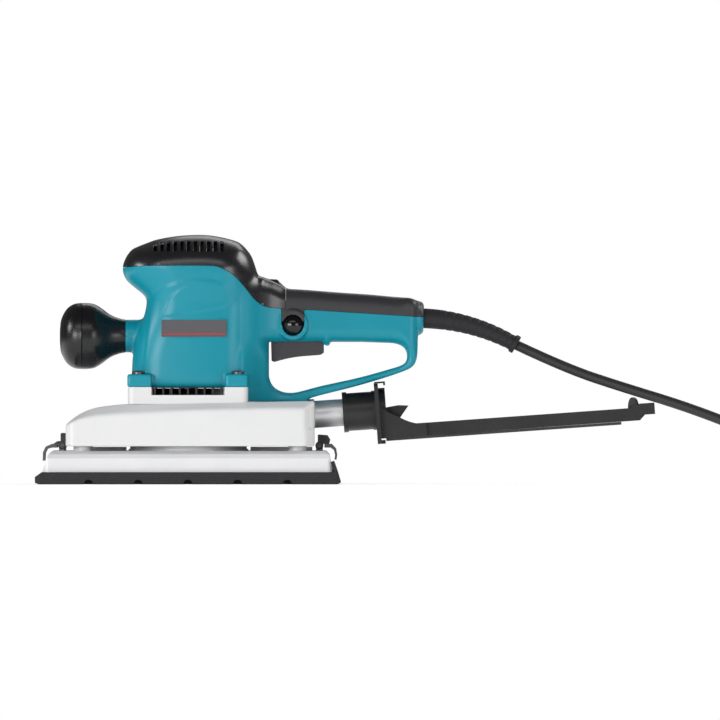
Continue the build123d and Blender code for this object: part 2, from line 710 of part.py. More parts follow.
def pad_plate():
    """The cast plate that the rubber pad is bonded to."""
    side = face_of(((-109.0, PAD_TOP), (-106.6, 16.7), (-104.6, 22.4), (-101.5, PLATE_TOP), (103.4, PLATE_TOP),
                    (105.8, 22.4), (106.9, 16.7), (109.2, PAD_TOP)))
    half = PLATE_HALF_WIDTH
    end = face_of(((-half, PAD_TOP), (-half, 19.5), (-half + 1.6, 22.6), (-half + 5.5, PLATE_TOP),
                   (half - 5.5, PLATE_TOP), (half - 1.6, 22.6), (half, 19.5), (half, PAD_TOP)))
    across = extrude(Plane(origin=(-115, 0, 0), x_dir=(0, 1, 0), z_dir=(1, 0, 0)) * end, 230)
    plate = xz_prism(side, -60, 60) & across
    plate &= xy_prism(RectangleRounded(218.4, 2 * half, 5), 0, 30)
    for x, y in dust_holes():
        plate -= rod_z(4.0, 0, 30, x, y)
    for x_low, x_high in ((-99, -50), (50, 101)):
        plate -= mirrored_y(block(x_low, x_high, 2.5, 48, 0, 20.5))
    for x, y in PAD_SCREWS_AT:
        plate -= rod_z(1.6, 12, 30, x, y)
    for x_low, x_high in ((-82, -46.5), (46.5, 93)):
        plate += block(x_low, x_high, -1.5, 1.5, 24, COVER_BOTTOM - GAP)
    for pivot in (FRONT_PIVOT_X, REAR_PIVOT_X):
        for y in (-CLAMP_HALF / 2 + 3.4, CLAMP_HALF / 2 - 3.4):
            ear = block(pivot - 2.6, pivot + 2.6, y - 1.5, y + 1.5, 20, CLAMP_PIVOT_Z)
            plate += ear + rod_y(2.6, y - 1.5, y + 1.5, x=pivot, z=CLAMP_PIVOT_Z)
        plate -= rod_y(PIN_R, -14, 14, x=pivot, z=CLAMP_PIVOT_Z)
    return on_pad(plate)


PAD_SCREWS_AT = [(38.5 * math.cos(math.radians(a)), 38.5 * math.sin(math.radians(a))) for a in (45, 135, 225, 315)]


def bearing_housing():
    """The round casting on the plate that holds the pad's bearing, with a dust skirt."""
    cast = rod_z(SKIRT_R, PLATE_TOP, PLATE_TOP + 1.4) + ring_z(SKIRT_R - 1.2, SKIRT_R - 3.2, PLATE_TOP, 32.5)
    cast += rod_z(HUB_R, PLATE_TOP, PAD_BEARING_Z[1])
    cast -= rod_z(17.5, PAD_BEARING_Z[0], 50)
    cast -= rod_z(14.5, PLATE_TOP + 1.4, 50)
    for x, y in PAD_SCREWS_AT:
        cast -= rod_z(1.6, 12, 30, x, y)
    return on_pad(cast)


def pad_bearing():
    """The ball bearing between crank and pad."""
    return bearing(17.5, JOURNAL_R + RUN, *PAD_BEARING_Z, y=ORBIT_R)


def pad_feet():
    """Four elastic posts on the plate."""
    posts = []
    for x in (-79.0, 82.0):
        for y in (-39.0, 39.0):
            post = rod_z(6.8, PLATE_TOP, 41, x, y)
            posts.append(on_pad(fillet(post.edges().sort_by(Axis.Z)[-1], 1.5)))
    return posts


def pad_screws():
    """The screws that hold the bearing housing on the plate."""
    screws = []
    for x, y in PAD_SCREWS_AT:
        head = rod_z(3.0, PLATE_TOP + 1.4, PLATE_TOP + 3.2, x, y)
        screws.append(on_pad(head + rod_z(1.6, 14, PLATE_TOP + 1.6, x, y)))
    return screws


def clamp_pins():
    """The two pivot pins of the paper clamps."""
    pins = []
    for x in (FRONT_PIVOT_X, REAR_PIVOT_X):
        pins.append(on_pad(rod_y(PIN_R, -CLAMP_HALF, CLAMP_HALF, x=x, z=CLAMP_PIVOT_Z)))
    return pins


def clamp_springs():
    """The closing springs between the plate's ears, drawn as sleeves."""
    springs = []
    for x in (FRONT_PIVOT_X, REAR_PIVOT_X):
        sleeve = rod_y(2.5, -6.4, 6.4, x=x, z=CLAMP_PIVOT_Z) - rod_y(PIN_R, -20, 20, x=x, z=CLAMP_PIVOT_Z)
        springs.append(on_pad(sleeve))
    return springs


def knuckles(x):
    """The two barrels of a clamp lever round its pin."""
    barrel = rod_y(3.0, 11.2, CLAMP_HALF, x=x, z=CLAMP_PIVOT_Z)
    return mirrored_y(barrel - rod_y(PIN_R + RUN, 0, 40, x=x, z=CLAMP_PIVOT_Z))


def clamp_lever(x, top, reach=0.0):
    """The black lever over a pin: reach is the length of its foot over a jaw on the -X side."""
    z = CLAMP_PIVOT_Z
    outline = face_of(((x - 1.2, z + 2.0), (x - 1.2, top), (x + 6.2, top - 0.6), (x + 8.2, z + 4.4),
                       (x + 7.4, z + 1.2), (x + 2.0, z + 1.2)), 0.8)
    lever = xz_prism(outline, -CLAMP_HALF, CLAMP_HALF)
    if reach:
        foot = face_of(((x, z + 1.2), (x, z + 3.4), (x - 4.0, z + 3.2), (x - reach, z + 1.2)))
        lever += xz_prism(foot, -CLAMP_HALF, CLAMP_HALF)
    lever -= rod_y(3.4, -11.2, 11.2, x=x, z=z)
    for barrel in knuckles(x):
        lever += barrel
    for y_side in (-1, 1):
        low, high = sorted((y_side * 11.2, y_side * (CLAMP_HALF + 1)))
        lever -= rod_y(PIN_R + RUN, low, high, x=x, z=z)
    return on_pad(lever)


def front_clamp_lever():
    """The front lever, tucked into the cover's recess."""
    return clamp_lever(FRONT_PIVOT_X, 38.4, reach=6.8)


def rear_clamp_lever():
    """The rear lever."""
    return clamp_lever(REAR_PIVOT_X, 37.2)


def clamp_jaw(points, tooth_x, lean):
    """A sheet-steel jaw that follows the plate's end, with teeth along its lip."""
    jaw = xz_prism(face_of(points), -CLAMP_HALF, CLAMP_HALF)
    for index in range(11):
        y = -22.5 + 4.5 * index
        jaw -= Pos(tooth_x, y, 17.2) * Rot(0, 0, 45) * Box(2.4, 2.4, 4.6)
    return on_pad(jaw)


def front_clamp_jaw():
    """The front jaw over the plate's front edge."""
    x = FRONT_PIVOT_X
    points = ((x - 3.8, 30.1), (x - 8.0, 30.1), (x - 12.4, 28.2), (x - 14.4, 24.0), (x - 14.6, 17.6),
              (x - 13.2, 17.6), (x - 12.8, 23.6), (x - 11.2, 26.4), (x - 7.4, 27.4), (x - 3.8, 27.4))
    return clamp_jaw(points, x - 14.8, -1)


def rear_clamp_jaw():
    """The rear jaw over the plate's rear edge."""
    x = REAR_PIVOT_X
    points = ((x + 3.8, 30.1), (x + 9.4, 30.1), (x + 12.6, 26.6), (x + 13.4, 22.0), (x + 12.9, 18.4),
              (x + 11.4, 18.4), (x + 11.8, 22.0), (x + 10.9, 25.6), (x + 8.4, 27.4), (x + 3.8, 27.4))
    return clamp_jaw(points, x + 13.6, 1)


# ---- Controls --------------------------------------------------------------------------------------
def trigger():
    """The paddle trigger under the handle."""
    side = face_of(((62.0, 107.0), (62.4, 92.4), (64.6, 91.6), (77, 95.2), (99, 96.9), (101.7, 98.5),
                    (101.7, 107.0), (101.0, 113.0), (96, 114.0), (64.0, 114.0), (64.0, 108.0)),
                   (0.5, 1, 0.6, 95, 1.5, 1.5, 0.5, 2, 2, 1, 0.5))
    x, z = TRIGGER_PIVOT
    paddle = xz_prism(side, -8.2, 8.2) + rod_y(1.4, -11, 11, x=x, z=z)
    return paddle - rod_z(4.4, 101, 120, 71, 0)


def lock_button():
    """The round lock-on button on the user's left side of the handle."""
    x, z = BUTTON_AT
    dome = rod_y(BUTTON_R, -22.0, -15.0, x=x, z=z) & (Pos(x, -12.2, z) * Sphere(9.6))
    button = dome + rod_y(8.4, -15.1, -13.6, x=x, z=z)
    return button - rod_y(3.2, -19.7, -10, x=x, z=z)


def speed_dial():
    """The thumb wheel with a serrated rim."""
    x, z = DIAL_AT
    wheel = rod_y(DIAL_R, -DIAL_HALF, DIAL_HALF, x=x, z=z)
    reach = DIAL_R + 0.2
    for index in range(24):
        angle = math.radians(15 * index)
        wheel -= rod_y(0.7, -9, 9, x=x + reach * math.cos(angle), z=z + reach * math.sin(angle))
    return wheel + rod_y(2.0, -DIAL_HALF - 2.8, DIAL_HALF + 2.8, x=x, z=z)


# ---- Paper-bag holder --------------------------------------------------------------------------------
def nozzle_cuff():
    """The sleeve that pushes on to the outlet tube."""
    cuff = rod_x(14.2, 0, CUFF_LENGTH) + rod_x(15.1, 0, 3.4) + rod_x(14.8, CUFF_LENGTH - 2.4, CUFF_LENGTH)
    return in_nozzle(cuff - rod_x(TUBE_R + RUN, -5, 20) - rod_x(9.0, -5, 40))


def holder_side():
    """Side outline of the channel: flared at the plate, slim along the arm, stepped at its end."""
    end = ARM_LENGTH
    flare = Spline((27.0, 6.0), (31.5, -0.4), (41.0, -6.0), (54.5, -12.0), tangents=((0.35, -1), (1, -0.25)))
    rest = Polyline((54.5, -12.0), (end - 12, -11.8), (end - 3, -8.9), (end + 7.6, -8.9), (end + 7.6, -17.4),
                    (end, -17.4), (end - 4, -21.4), (27.0, -21.6), (27.0, 6.0))
    return make_face([flare, rest])


def bag_holder():
    """Card plate, claws, channel arm, guide fin and end stop as one moulding."""
    plate = block(CUFF_LENGTH, CUFF_LENGTH + 3, -27, 27, -25.5, 20.4)
    plate = fillet(plate.edges().filter_by(Axis.X), 4)
    arm = xz_prism(holder_side(), -14, 14) - block(28, ARM_LENGTH - 2, -12, 12, -19.4, 20)
    flare = xz_prism(holder_side(), -18.5, 18.5) & block(27, 62, -20, 20, -30, 20)
    flare -= block(20, 60, -16.4, 16.4, -19.4, 20) + block(59, 70, -12, 12, -19.4, 20)
    holder = plate + arm + flare - block(28, 60, -16.4, 16.4, -19.4, 20)
    holder += block(26.5, 30.5, -20, 20, -25.5, -22.8)
    for top, reach in ((21.2, 33.0), (16.4, 32.4)):
        holder += block(25, reach, -7, 7, top - 1.3, top) + block(reach - 1.4, reach, -7, 7, top - 3.0, top)
    fin = face_of(((27, 1.0), (42, 2.6), (49.5, 1.8), (43, -6.4), (39, -19.6), (30, -19.6)))
    holder += xz_prism(fin, -1.4, 1.4)
    holder += Pos(218, 0, -12) * Rot(0, 0, 25) * rod_x(8.2, -0.8, 0.8)
    holder -= rod_x(15.8, CUFF_LENGTH + 3, 32.4) + rod_x(9.0, 0, 30)
    return in_nozzle(holder)


def holder_rail():
    """The pale strip on the underside of the arm."""
    return in_nozzle(block(31, 208, -4, 4, -23.7, -21.6))


def seal_ring():
    """The ring round the mouth, over which the paper bag's card is pushed."""
    return in_nozzle(rod_x(15.8, CUFF_LENGTH + 3, 32.4) - rod_x(9.0, 20, 40))


# ---- Cord and plug -------------------------------------------------------------------------------------
def cord_radii():
    """The corner radii of the cord's route, as large as its runs allow."""
    points = [Vector(*p) for p in CORD_ROUTE]
    radii = []
    for before, here, after in zip(points, points[1:], points[2:]):
        turn = math.radians((here - before).get_angle(after - here))
        shorter = min((here - before).length, (after - here).length)
        radii.append(0.45 * shorter / math.tan(turn / 2))
    return radii


def round_tube(path):
    """A tube of the cord's section along a path."""
    return sweep(Plane(path.location_at(0)) * Circle(CORD_D / 2), path)


def outer_turn_r():
    """Centreline radius of the coil's outermost turn."""
    return COIL_INNER_TURN_R + (COIL_COLUMNS - 1) * TURN_PITCH


def coil_height():
    """Height of the wound coil."""
    return CORD_D + (COIL_LAYERS - 1) * LAYER_PITCH


def coil_ring():
    """The coil's outer shape, without the place of its tie."""
    outer = outer_turn_r() + CORD_D / 2
    inner = COIL_INNER_TURN_R - CORD_D / 2
    ring = ring_z(outer, inner, 0, coil_height(), COIL_CENTRE_X, 0)
    return fillet(ring.edges().filter_by(GeomType.CIRCLE), 3.0)


def tie_form():
    """The strap round one side of the coil."""
    outer = outer_turn_r() + CORD_D / 2
    inner = COIL_INNER_TURN_R - CORD_D / 2
    return block(COIL_CENTRE_X + inner - 1.2, COIL_CENTRE_X + outer + 1.2, -6, 6, 0, coil_height() + 1.2)


def power_cord():
    """The cord from its guard to the coil, and its short end from the coil to the plug."""
    radii = cord_radii()
    print("cord radii", [round(r) for r in radii])
    main = round_tube(FilletPolyline(*CORD_ROUTE, radius=radii))
    tail_y = outer_turn_r()
    top_z = CORD_D / 2 + LAYER_PITCH
    tail = round_tube(Polyline((COIL_CENTRE_X, tail_y, top_z), (COIL_CENTRE_X - 52, tail_y, 8.6)))
    ring = coil_ring()
    return [main - ring - cord_guard(), tail - ring]


def cord_coil():
    """The stored length of the cord, as the outer shape of its coil."""
    return coil_ring() - tie_form()


def coil_tie():
    """The strap that ties the coil."""
    outer = outer_turn_r() + CORD_D / 2
    inner = COIL_INNER_TURN_R - CORD_D / 2
    hole = block(COIL_CENTRE_X + inner, COIL_CENTRE_X + outer, -10, 10, 1.0, coil_height())
    return fillet(tie_form().edges().filter_by(Axis.Y), 3) - fillet(hole.edges().filter_by(Axis.Y), 2)


def plug_place(shape):
    """Moves a part drawn about the plug's axis, pins towards -X, to its place."""
    return Pos(COIL_CENTRE_X - 52, outer_turn_r(), 8.6) * shape


def plug_body():
    """The moulded two-pin plug."""
    plan = face_of(((0, -5), (-10, -6.5), (-16, -15), (-34, -17.5), (-38, -17.5), (-38, 17.5), (-34, 17.5),
                    (-16, 15), (-10, 6.5), (0, 5)), (0, 5, 6, 4, 2, 2, 4, 6, 5, 0))
    side = face_of(((0, -5), (-14, -8.5), (-38, -8.5), (-38, 8.5), (-14, 8.5), (0, 5)), (0, 8, 1.5, 1.5, 8, 0))
    body = xy_prism(plan, -8.5, 8.5) & xz_prism(side, -20, 20)
    roots = [rod_x(PIN_ROOT_R, -40, -30, y=y) for y in PLUG_PINS_Y]
    return plug_place(body) - [plug_place(root) for root in roots]


def plug_pins():
    """The plug's two round pins."""
    pins = []
    for y in PLUG_PINS_Y:
        pin = rod_x(PIN_R_MAINS, -57, -38, y=y)
        pin = fillet(pin.edges().filter_by(GeomType.CIRCLE).sort_by(Axis.X)[0], 1.6)
        pins.append(plug_place(pin + rod_x(PIN_ROOT_R, -38.5, -30, y=y)))
    return pins


# ---- Export -------------------------------------------------------------------------------------------
def make_parts():
    """Every part by name."""
    form, zone, cavity = body_form(), shell_zone(), body_cavity()
    parts = {
        "motor_housing": motor_housing(form, zone, cavity),
        "top_cover": top_cover(form, zone, cavity),
        "handle_cover": handle_cover(form, zone, cavity),
    }
    makers = (
        badges, base_cover, fan_housing, fan_baffle, outlet_tube, knob_body, knob_cap, knob_bolt,
        field_core, field_coils, brush_holders, carbon_brushes, brush_springs, switch_body,
        speed_controller, capacitor, lead_wires, switch_springs, cord_clamp, clamp_screws, cord_guard,
        housing_screws, cover_screws, armature_shaft, armature_core, armature_windings, commutator,
        cooling_fan, counterweight, eccentric, pad_plate, backing_pad, bearing_housing, pad_bearing,
        pad_feet, pad_screws, clamp_pins, clamp_springs, front_clamp_jaw, front_clamp_lever,
        rear_clamp_jaw, rear_clamp_lever, trigger, lock_button, speed_dial, nozzle_cuff, bag_holder,
        holder_rail, seal_ring, power_cord, cord_coil, coil_tie, plug_body, plug_pins,
    )
    for maker in makers:
        parts[maker.__name__] = maker()
    parts["lower_bearing"] = bearing(16.0, SHAFT_R + RUN, *LOWER_BEARING_Z)
    parts["upper_bearing"] = bearing(11.0, TAIL_R + RUN, *UPPER_BEARING_Z)
    parts["bearing_boot"] = ring_z(13.6, 11.0, UPPER_BEARING_Z[0] - 1, UPPER_BEARING_Z[1] + 1)
    return parts


def main():
    """Writes one STEP file per part."""
    os.makedirs("parts", exist_ok=True)
    for name, shape in make_parts().items():
        if isinstance(shape, list):
            shape = Compound(children=[s for s in shape])
        shape.label = name
        export_step(shape, os.path.join("parts", f"{name}.step"))


if __name__ == "__main__":
    main()
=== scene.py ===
"""Looks of the half-sheet orbital sander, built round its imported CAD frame.

Outlines are written in millimetres and turned into metres where the meshes are made.
"""

import math

import bpy
import numpy as np
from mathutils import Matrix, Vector


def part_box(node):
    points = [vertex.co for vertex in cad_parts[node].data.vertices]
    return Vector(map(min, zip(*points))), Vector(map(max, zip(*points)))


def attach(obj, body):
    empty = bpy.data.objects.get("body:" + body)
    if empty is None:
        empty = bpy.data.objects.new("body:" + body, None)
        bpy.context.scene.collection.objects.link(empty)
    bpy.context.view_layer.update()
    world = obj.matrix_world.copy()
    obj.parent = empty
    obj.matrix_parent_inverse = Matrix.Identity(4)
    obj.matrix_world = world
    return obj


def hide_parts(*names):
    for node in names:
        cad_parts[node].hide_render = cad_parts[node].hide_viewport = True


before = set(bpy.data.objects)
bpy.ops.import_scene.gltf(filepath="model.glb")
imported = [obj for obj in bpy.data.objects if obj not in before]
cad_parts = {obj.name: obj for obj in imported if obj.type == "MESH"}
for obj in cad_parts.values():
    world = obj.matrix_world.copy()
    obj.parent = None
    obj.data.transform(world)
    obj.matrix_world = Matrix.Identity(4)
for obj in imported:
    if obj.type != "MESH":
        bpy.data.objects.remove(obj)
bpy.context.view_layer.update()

MM = 0.001

# ---- Camera, which looks along +Y at the object's left side ---------------------------------
VIEW_CENTRE = (0.1288, 0.0, 0.0931)
VIEW_WIDTH = 0.5407
CAMERA_DISTANCE = 14.0
SENSOR = 36.0


def add_camera():
    """A long lens far away, because the view is nearly flat in perspective."""
    data = bpy.data.cameras.new("camera")
    data.sensor_width = SENSOR
    data.lens = SENSOR * CAMERA_DISTANCE / VIEW_WIDTH
    data.clip_end = 100.0
    camera = bpy.data.objects.new("camera", data)
    camera.location = (VIEW_CENTRE[0], -CAMERA_DISTANCE, VIEW_CENTRE[2])
    camera.rotation_euler = (math.radians(90), 0, 0)
    bpy.context.collection.objects.link(camera)
    bpy.context.scene.camera = camera


# ---- Materials ----------------------------------------------------------------------------------
COAT_ROUGHNESS = 0.08
SLOW_SCALE = 28.0
NOISE_LOW, NOISE_HIGH = 0.3, 0.7
LEAST_ROUGHNESS = 0.02
RELIEF_DEPTH = 0.0003


def surface(name, colour, roughness, metallic=0.0, bump=0.1, grain=900.0, mottle=0.08, stretch=(1, 1, 1),
            coat=0.0, specular=0.5, wear=0.08):
    """A shader with fine grain in its bump, and slow unevenness in its colour and roughness."""
    material = bpy.data.materials.new(name)
    material.use_nodes = True
    nodes, links = material.node_tree.nodes, material.node_tree.links
    shader = nodes["Principled BSDF"]
    shader.inputs["Metallic"].default_value = metallic
    shader.inputs["Coat Weight"].default_value = coat
    shader.inputs["Coat Roughness"].default_value = COAT_ROUGHNESS
    shader.inputs["Specular IOR Level"].default_value = specular
    coords = nodes.new("ShaderNodeTexCoord")
    mapping = nodes.new("ShaderNodeMapping")
    mapping.inputs["Scale"].default_value = stretch
    links.new(coords.outputs["Object"], mapping.inputs["Vector"])
    fine = nodes.new("ShaderNodeTexNoise")
    fine.inputs["Scale"].default_value = grain
    fine.inputs["Detail"].default_value = 4.0
    links.new(mapping.outputs["Vector"], fine.inputs["Vector"])
    slow = nodes.new("ShaderNodeTexNoise")
    slow.inputs["Scale"].default_value = SLOW_SCALE
    slow.inputs["Detail"].default_value = 6.0
    slow.inputs["Roughness"].default_value = 0.6
    links.new(coords.outputs["Object"], slow.inputs["Vector"])
    tint = nodes.new("ShaderNodeValToRGB")
    tint.color_ramp.elements[0].position = NOISE_LOW
    tint.color_ramp.elements[1].position = NOISE_HIGH
    tint.color_ramp.elements[0].color = [c * (1 - mottle) for c in colour] + [1]
    tint.color_ramp.elements[1].color = [min(c * (1 + mottle), 1) for c in colour] + [1]
    links.new(slow.outputs["Fac"], tint.inputs["Fac"])
    links.new(tint.outputs["Color"], shader.inputs["Base Color"])
    rough = nodes.new("ShaderNodeMapRange")
    rough.inputs["From Min"].default_value = NOISE_LOW
    rough.inputs["From Max"].default_value = NOISE_HIGH
    rough.inputs["To Min"].default_value = max(roughness - wear, LEAST_ROUGHNESS)
    rough.inputs["To Max"].default_value = min(roughness + wear, 1.0)
    blend = nodes.new("ShaderNodeMix")
    blend.inputs["Factor"].default_value = 0.5
    links.new(slow.outputs["Fac"], blend.inputs[2])
    links.new(fine.outputs["Fac"], blend.inputs[3])
    links.new(blend.outputs[0], rough.inputs["Value"])
    links.new(rough.outputs["Result"], shader.inputs["Roughness"])
    relief = nodes.new("ShaderNodeBump")
    relief.inputs["Strength"].default_value = bump
    relief.inputs["Distance"].default_value = RELIEF_DEPTH
    links.new(fine.outputs["Fac"], relief.inputs["Height"])
    links.new(relief.outputs["Normal"], shader.inputs["Normal"])
    return material


def make_materials():
    """Every finish by name."""
    return {
        "teal": surface("teal_shell", (0.0, 0.245, 0.325), 0.36, bump=0.04, mottle=0.03, specular=0.4,
                        wear=0.03),
        "gloss": surface("black_gloss", (0.005, 0.005, 0.007), 0.29, bump=0.03, specular=0.8, wear=0.04),
        "button": surface("black_button", (0.002, 0.002, 0.002), 0.14, bump=0.02, wear=0.03),
        "matt": surface("black_matt", (0.026, 0.025, 0.029), 0.42, bump=0.35, grain=1600.0),
        "knob": surface("black_knob", (0.004, 0.004, 0.005), 0.27, bump=0.12, grain=1300.0),
        "holder": surface("black_holder", (0.010, 0.010, 0.011), 0.36, bump=0.25, grain=1300.0),
        "rubber": surface("black_rubber", (0.014, 0.014, 0.016), 0.62, bump=0.6, grain=1500.0, specular=0.35),
        "sheath": surface("cord_sheath", (0.018, 0.018, 0.020), 0.5, bump=0.25, grain=1800.0, specular=0.4),
        "cast": surface("pale_cast", (0.67, 0.67, 0.675), 0.55, metallic=0.15, bump=0.2, grain=1400.0,
                        mottle=0.02),
        "plate": surface("pale_plate", (0.68, 0.68, 0.69), 0.5, metallic=0.15, bump=0.25, grain=1400.0,
                         mottle=0.03),
        "tube": surface("tube_metal", (0.72, 0.72, 0.73), 0.42, metallic=0.8, bump=0.1, mottle=0.02),
        "steel": surface("brushed_steel", (0.62, 0.62, 0.64), 0.28, metallic=1.0, bump=0.15,
                         stretch=(0.06, 1, 1)),
        "screw": surface("screw_steel", (0.10, 0.10, 0.11), 0.35, metallic=0.9, bump=0.1),
        "bright": surface("bright_screw", (0.55, 0.55, 0.57), 0.3, metallic=1.0, bump=0.1),
        "badge": surface("badge_plate", (0.075, 0.072, 0.082), 0.42, bump=0.02, mottle=0.02, wear=0.02),
        "red": surface("red_line", (0.42, 0.02, 0.015), 0.35, bump=0.05),
        "dial": surface("dial_plastic", (0.30, 0.30, 0.32), 0.45, bump=0.2),
        "rail": surface("rail_plastic", (0.05, 0.05, 0.052), 0.35, bump=0.2),
        "brass": surface("brass_pin", (0.62, 0.48, 0.24), 0.25, metallic=1.0, bump=0.08),
        "tie": surface("tie_plastic", (0.03, 0.03, 0.03), 0.5, bump=0.2),
    }


def paint(obj, material):
    """Gives every slot of a piece one material."""
    obj.data.materials.clear()
    obj.data.materials.append(material)


# ---- Meshes from distance fields ------------------------------------------------------------------
def curve(points, steps=6):
    """Points of a smooth line through the given points (Catmull-Rom)."""
    pts = [np.array(p, float) for p in points]
    pts = [2 * pts[0] - pts[1]] + pts + [2 * pts[-1] - pts[-2]]
    out = []
    for a, b, c, d in zip(pts, pts[1:], pts[2:], pts[3:]):
        for i in range(steps):
            t = i / steps
            out.append(0.5 * (2 * b + (c - a) * t + (2 * a - 5 * b + 4 * c - d) * t * t
                              + (3 * b - a - 3 * c + d) * t ** 3))
    return [tuple(p) for p in out] + [tuple(pts[-2])]


def course(points):
    """A smooth function through (place, value) points."""
    places = [p[0] for p in points]
    line = curve(points, 10)
    fine_x = np.array([p[0] for p in line])
    fine_y = np.array([p[1] for p in line])
    order = np.argsort(fine_x)
    fine_x, fine_y = fine_x[order], fine_y[order]

    def at(x):
        return np.interp(np.clip(x, places[0], places[-1]), fine_x, fine_y)

    return at


def outline_field(points, cell=0.5, margin=12.0):
    """The distance to a closed flat outline as a fast function: negative inside."""
    poly = np.array(points, float)
    low = poly.min(0) - margin
    count = np.ceil((poly.max(0) + margin - low) / cell).astype(int) + 1
    u = (low[0] + cell * np.arange(count[0]))[:, None]
    v = (low[1] + cell * np.arange(count[1]))[None, :]
    nearest = np.full((count[0], count[1]), 1e9)
    inside = np.zeros(nearest.shape, bool)
    for (ax, az), (bx, bz) in zip(poly, np.roll(poly, -1, axis=0)):
        ex, ez = bx - ax, bz - az
        if ex == 0 and ez == 0:
            continue
        t = np.clip(((u - ax) * ex + (v - az) * ez) / (ex * ex + ez * ez), 0, 1)
        nearest = np.minimum(nearest, (u - ax - t * ex) ** 2 + (v - az - t * ez) ** 2)
        if ez != 0:
            inside ^= ((az > v) != (bz > v)) & (u < ax + (v - az) * ex / ez)
    grid = np.where(inside, -1.0, 1.0) * np.sqrt(nearest)

    def at(a, b):
        a, b = np.broadcast_arrays(a, b)
        s = np.clip((a - low[0]) / cell, 0, count[0] - 1.001)
        t = np.clip((b - low[1]) / cell, 0, count[1] - 1.001)
        i, j = s.astype(int), t.astype(int)
        s, t = s - i, t - j
        near = grid[i, j] * (1 - s) + grid[i + 1, j] * s
        far = grid[i, j + 1] * (1 - s) + grid[i + 1, j + 1] * s
        return near * (1 - t) + far * t

    return at


def join(a, b, radius):
    """Union of two fields with a soft fillet."""
    h = np.clip(0.5 + 0.5 * (b - a) / radius, 0, 1)
    return b * (1 - h) + a * h - radius * h * (1 - h)


def meet(a, b, radius):
    """Intersection of two fields with a round edge."""
    u = np.maximum(a + radius, 0)
    v = np.maximum(b + radius, 0)
    return np.minimum(np.maximum(a, b), -radius) + np.hypot(u, v)


def box_field(x, y, z, low, high, radius=0.0):
    """The distance to a box with rounded edges."""
    q = []
    for value, a, b in zip((x, y, z), low, high):
        q.append(np.abs(value - (a + b) / 2) - (b - a) / 2 + radius)
    outside = np.sqrt(sum(np.maximum(c, 0) ** 2 for c in q))
    return outside + np.minimum(np.maximum(np.maximum(q[0], q[1]), q[2]), 0) - radius


def disc_field(a, b, along, centre, radius, low, high, edge=0.0):
    """The distance to a cylinder: a and b across it, along between low and high."""
    side = np.hypot(a - centre[0], b - centre[1]) - radius
    ends = np.maximum(low - along, along - high)
    return meet(side, ends, edge) if edge else np.maximum(side, ends)


def step_up(value, low, high):
    """A smooth step from 0 at low to 1 at high."""
    t = np.clip((value - low) / (high - low), 0, 1)
    return t * t * (3 - 2 * t)


def net(fields, low, high, cell):
    """Vertices and quads of the surface where the largest of some fields is zero.

    Vertices near an edge between two fields are moved on to both, so that cut edges are crisp.
    """
    axes = [np.arange(a, b + cell, cell) for a, b in zip(low, high)]
    grids = np.ix_(*axes)
    shape = tuple(len(a) for a in axes)
    d = np.full(shape, -1e9)
    for field in fields:
        d = np.maximum(d, np.broadcast_to(field(*grids), shape))
    solid = d < 0
    cells = tuple(n - 1 for n in shape)
    total = np.zeros(cells, int)
    corner = [(i, j, k) for i in (0, 1) for j in (0, 1) for k in (0, 1)]
    for i, j, k in corner:
        total += solid[i:i + cells[0], j:j + cells[1], k:k + cells[2]]
    crossed = (total > 0) & (total < 8)
    index = np.full(cells, -1)
    index[crossed] = np.arange(crossed.sum())
    place = np.argwhere(crossed)
    sums = np.zeros((len(place), 3))
    hits = np.zeros(len(place))
    for axis in range(3):
        unit = np.eye(3, dtype=int)[axis]
        for start in corner:
            if start[axis]:
                continue
            p = place + start
            q = p + unit
            a = d[tuple(p.T)]
            b = d[tuple(q.T)]
            cut = (a < 0) != (b < 0)
            share = np.where(cut, a / np.where(cut, a - b, 1), 0)
            sums += np.where(cut[:, None], np.array(start) + unit * share[:, None], 0)
            hits += cut
    points = (place + sums / hits[:, None]) * cell + np.array([a[0] for a in axes])
    quads = []
    for axis in range(3):
        unit = np.eye(3, dtype=int)[axis]
        b_axis, c_axis = np.eye(3, dtype=int)[(axis + 1) % 3], np.eye(3, dtype=int)[(axis + 2) % 3]
        first = solid[tuple(slice(0, n - 1) if m == axis else slice(0, n) for m, n in enumerate(shape))]
        second = solid[tuple(slice(1, n) if m == axis else slice(0, n) for m, n in enumerate(shape))]
        edge = np.argwhere(first != second)
        keep = np.all([(edge[:, m] > 0) & (edge[:, m] < cells[m]) for m in range(3) if m != axis], axis=0)
        edge = edge[keep]
        ring = [edge, edge - b_axis, edge - b_axis - c_axis, edge - c_axis]
        quad = np.stack([index[tuple(r.T)] for r in ring], axis=1)
        leaving = first[tuple(edge.T)]
        quads.append(np.where(leaving[:, None], quad, quad[:, ::-1]))
    quads = np.concatenate(quads)
    return settle(points, quads, fields, cell), quads


def slope(field, p, value):
    """A field's gradient at points."""
    eps = 0.02
    out = np.empty_like(p)
    for axis in range(3):
        moved = p.copy()
        moved[:, axis] += eps
        out[:, axis] = (field(*moved.T) - value) / eps
    return out


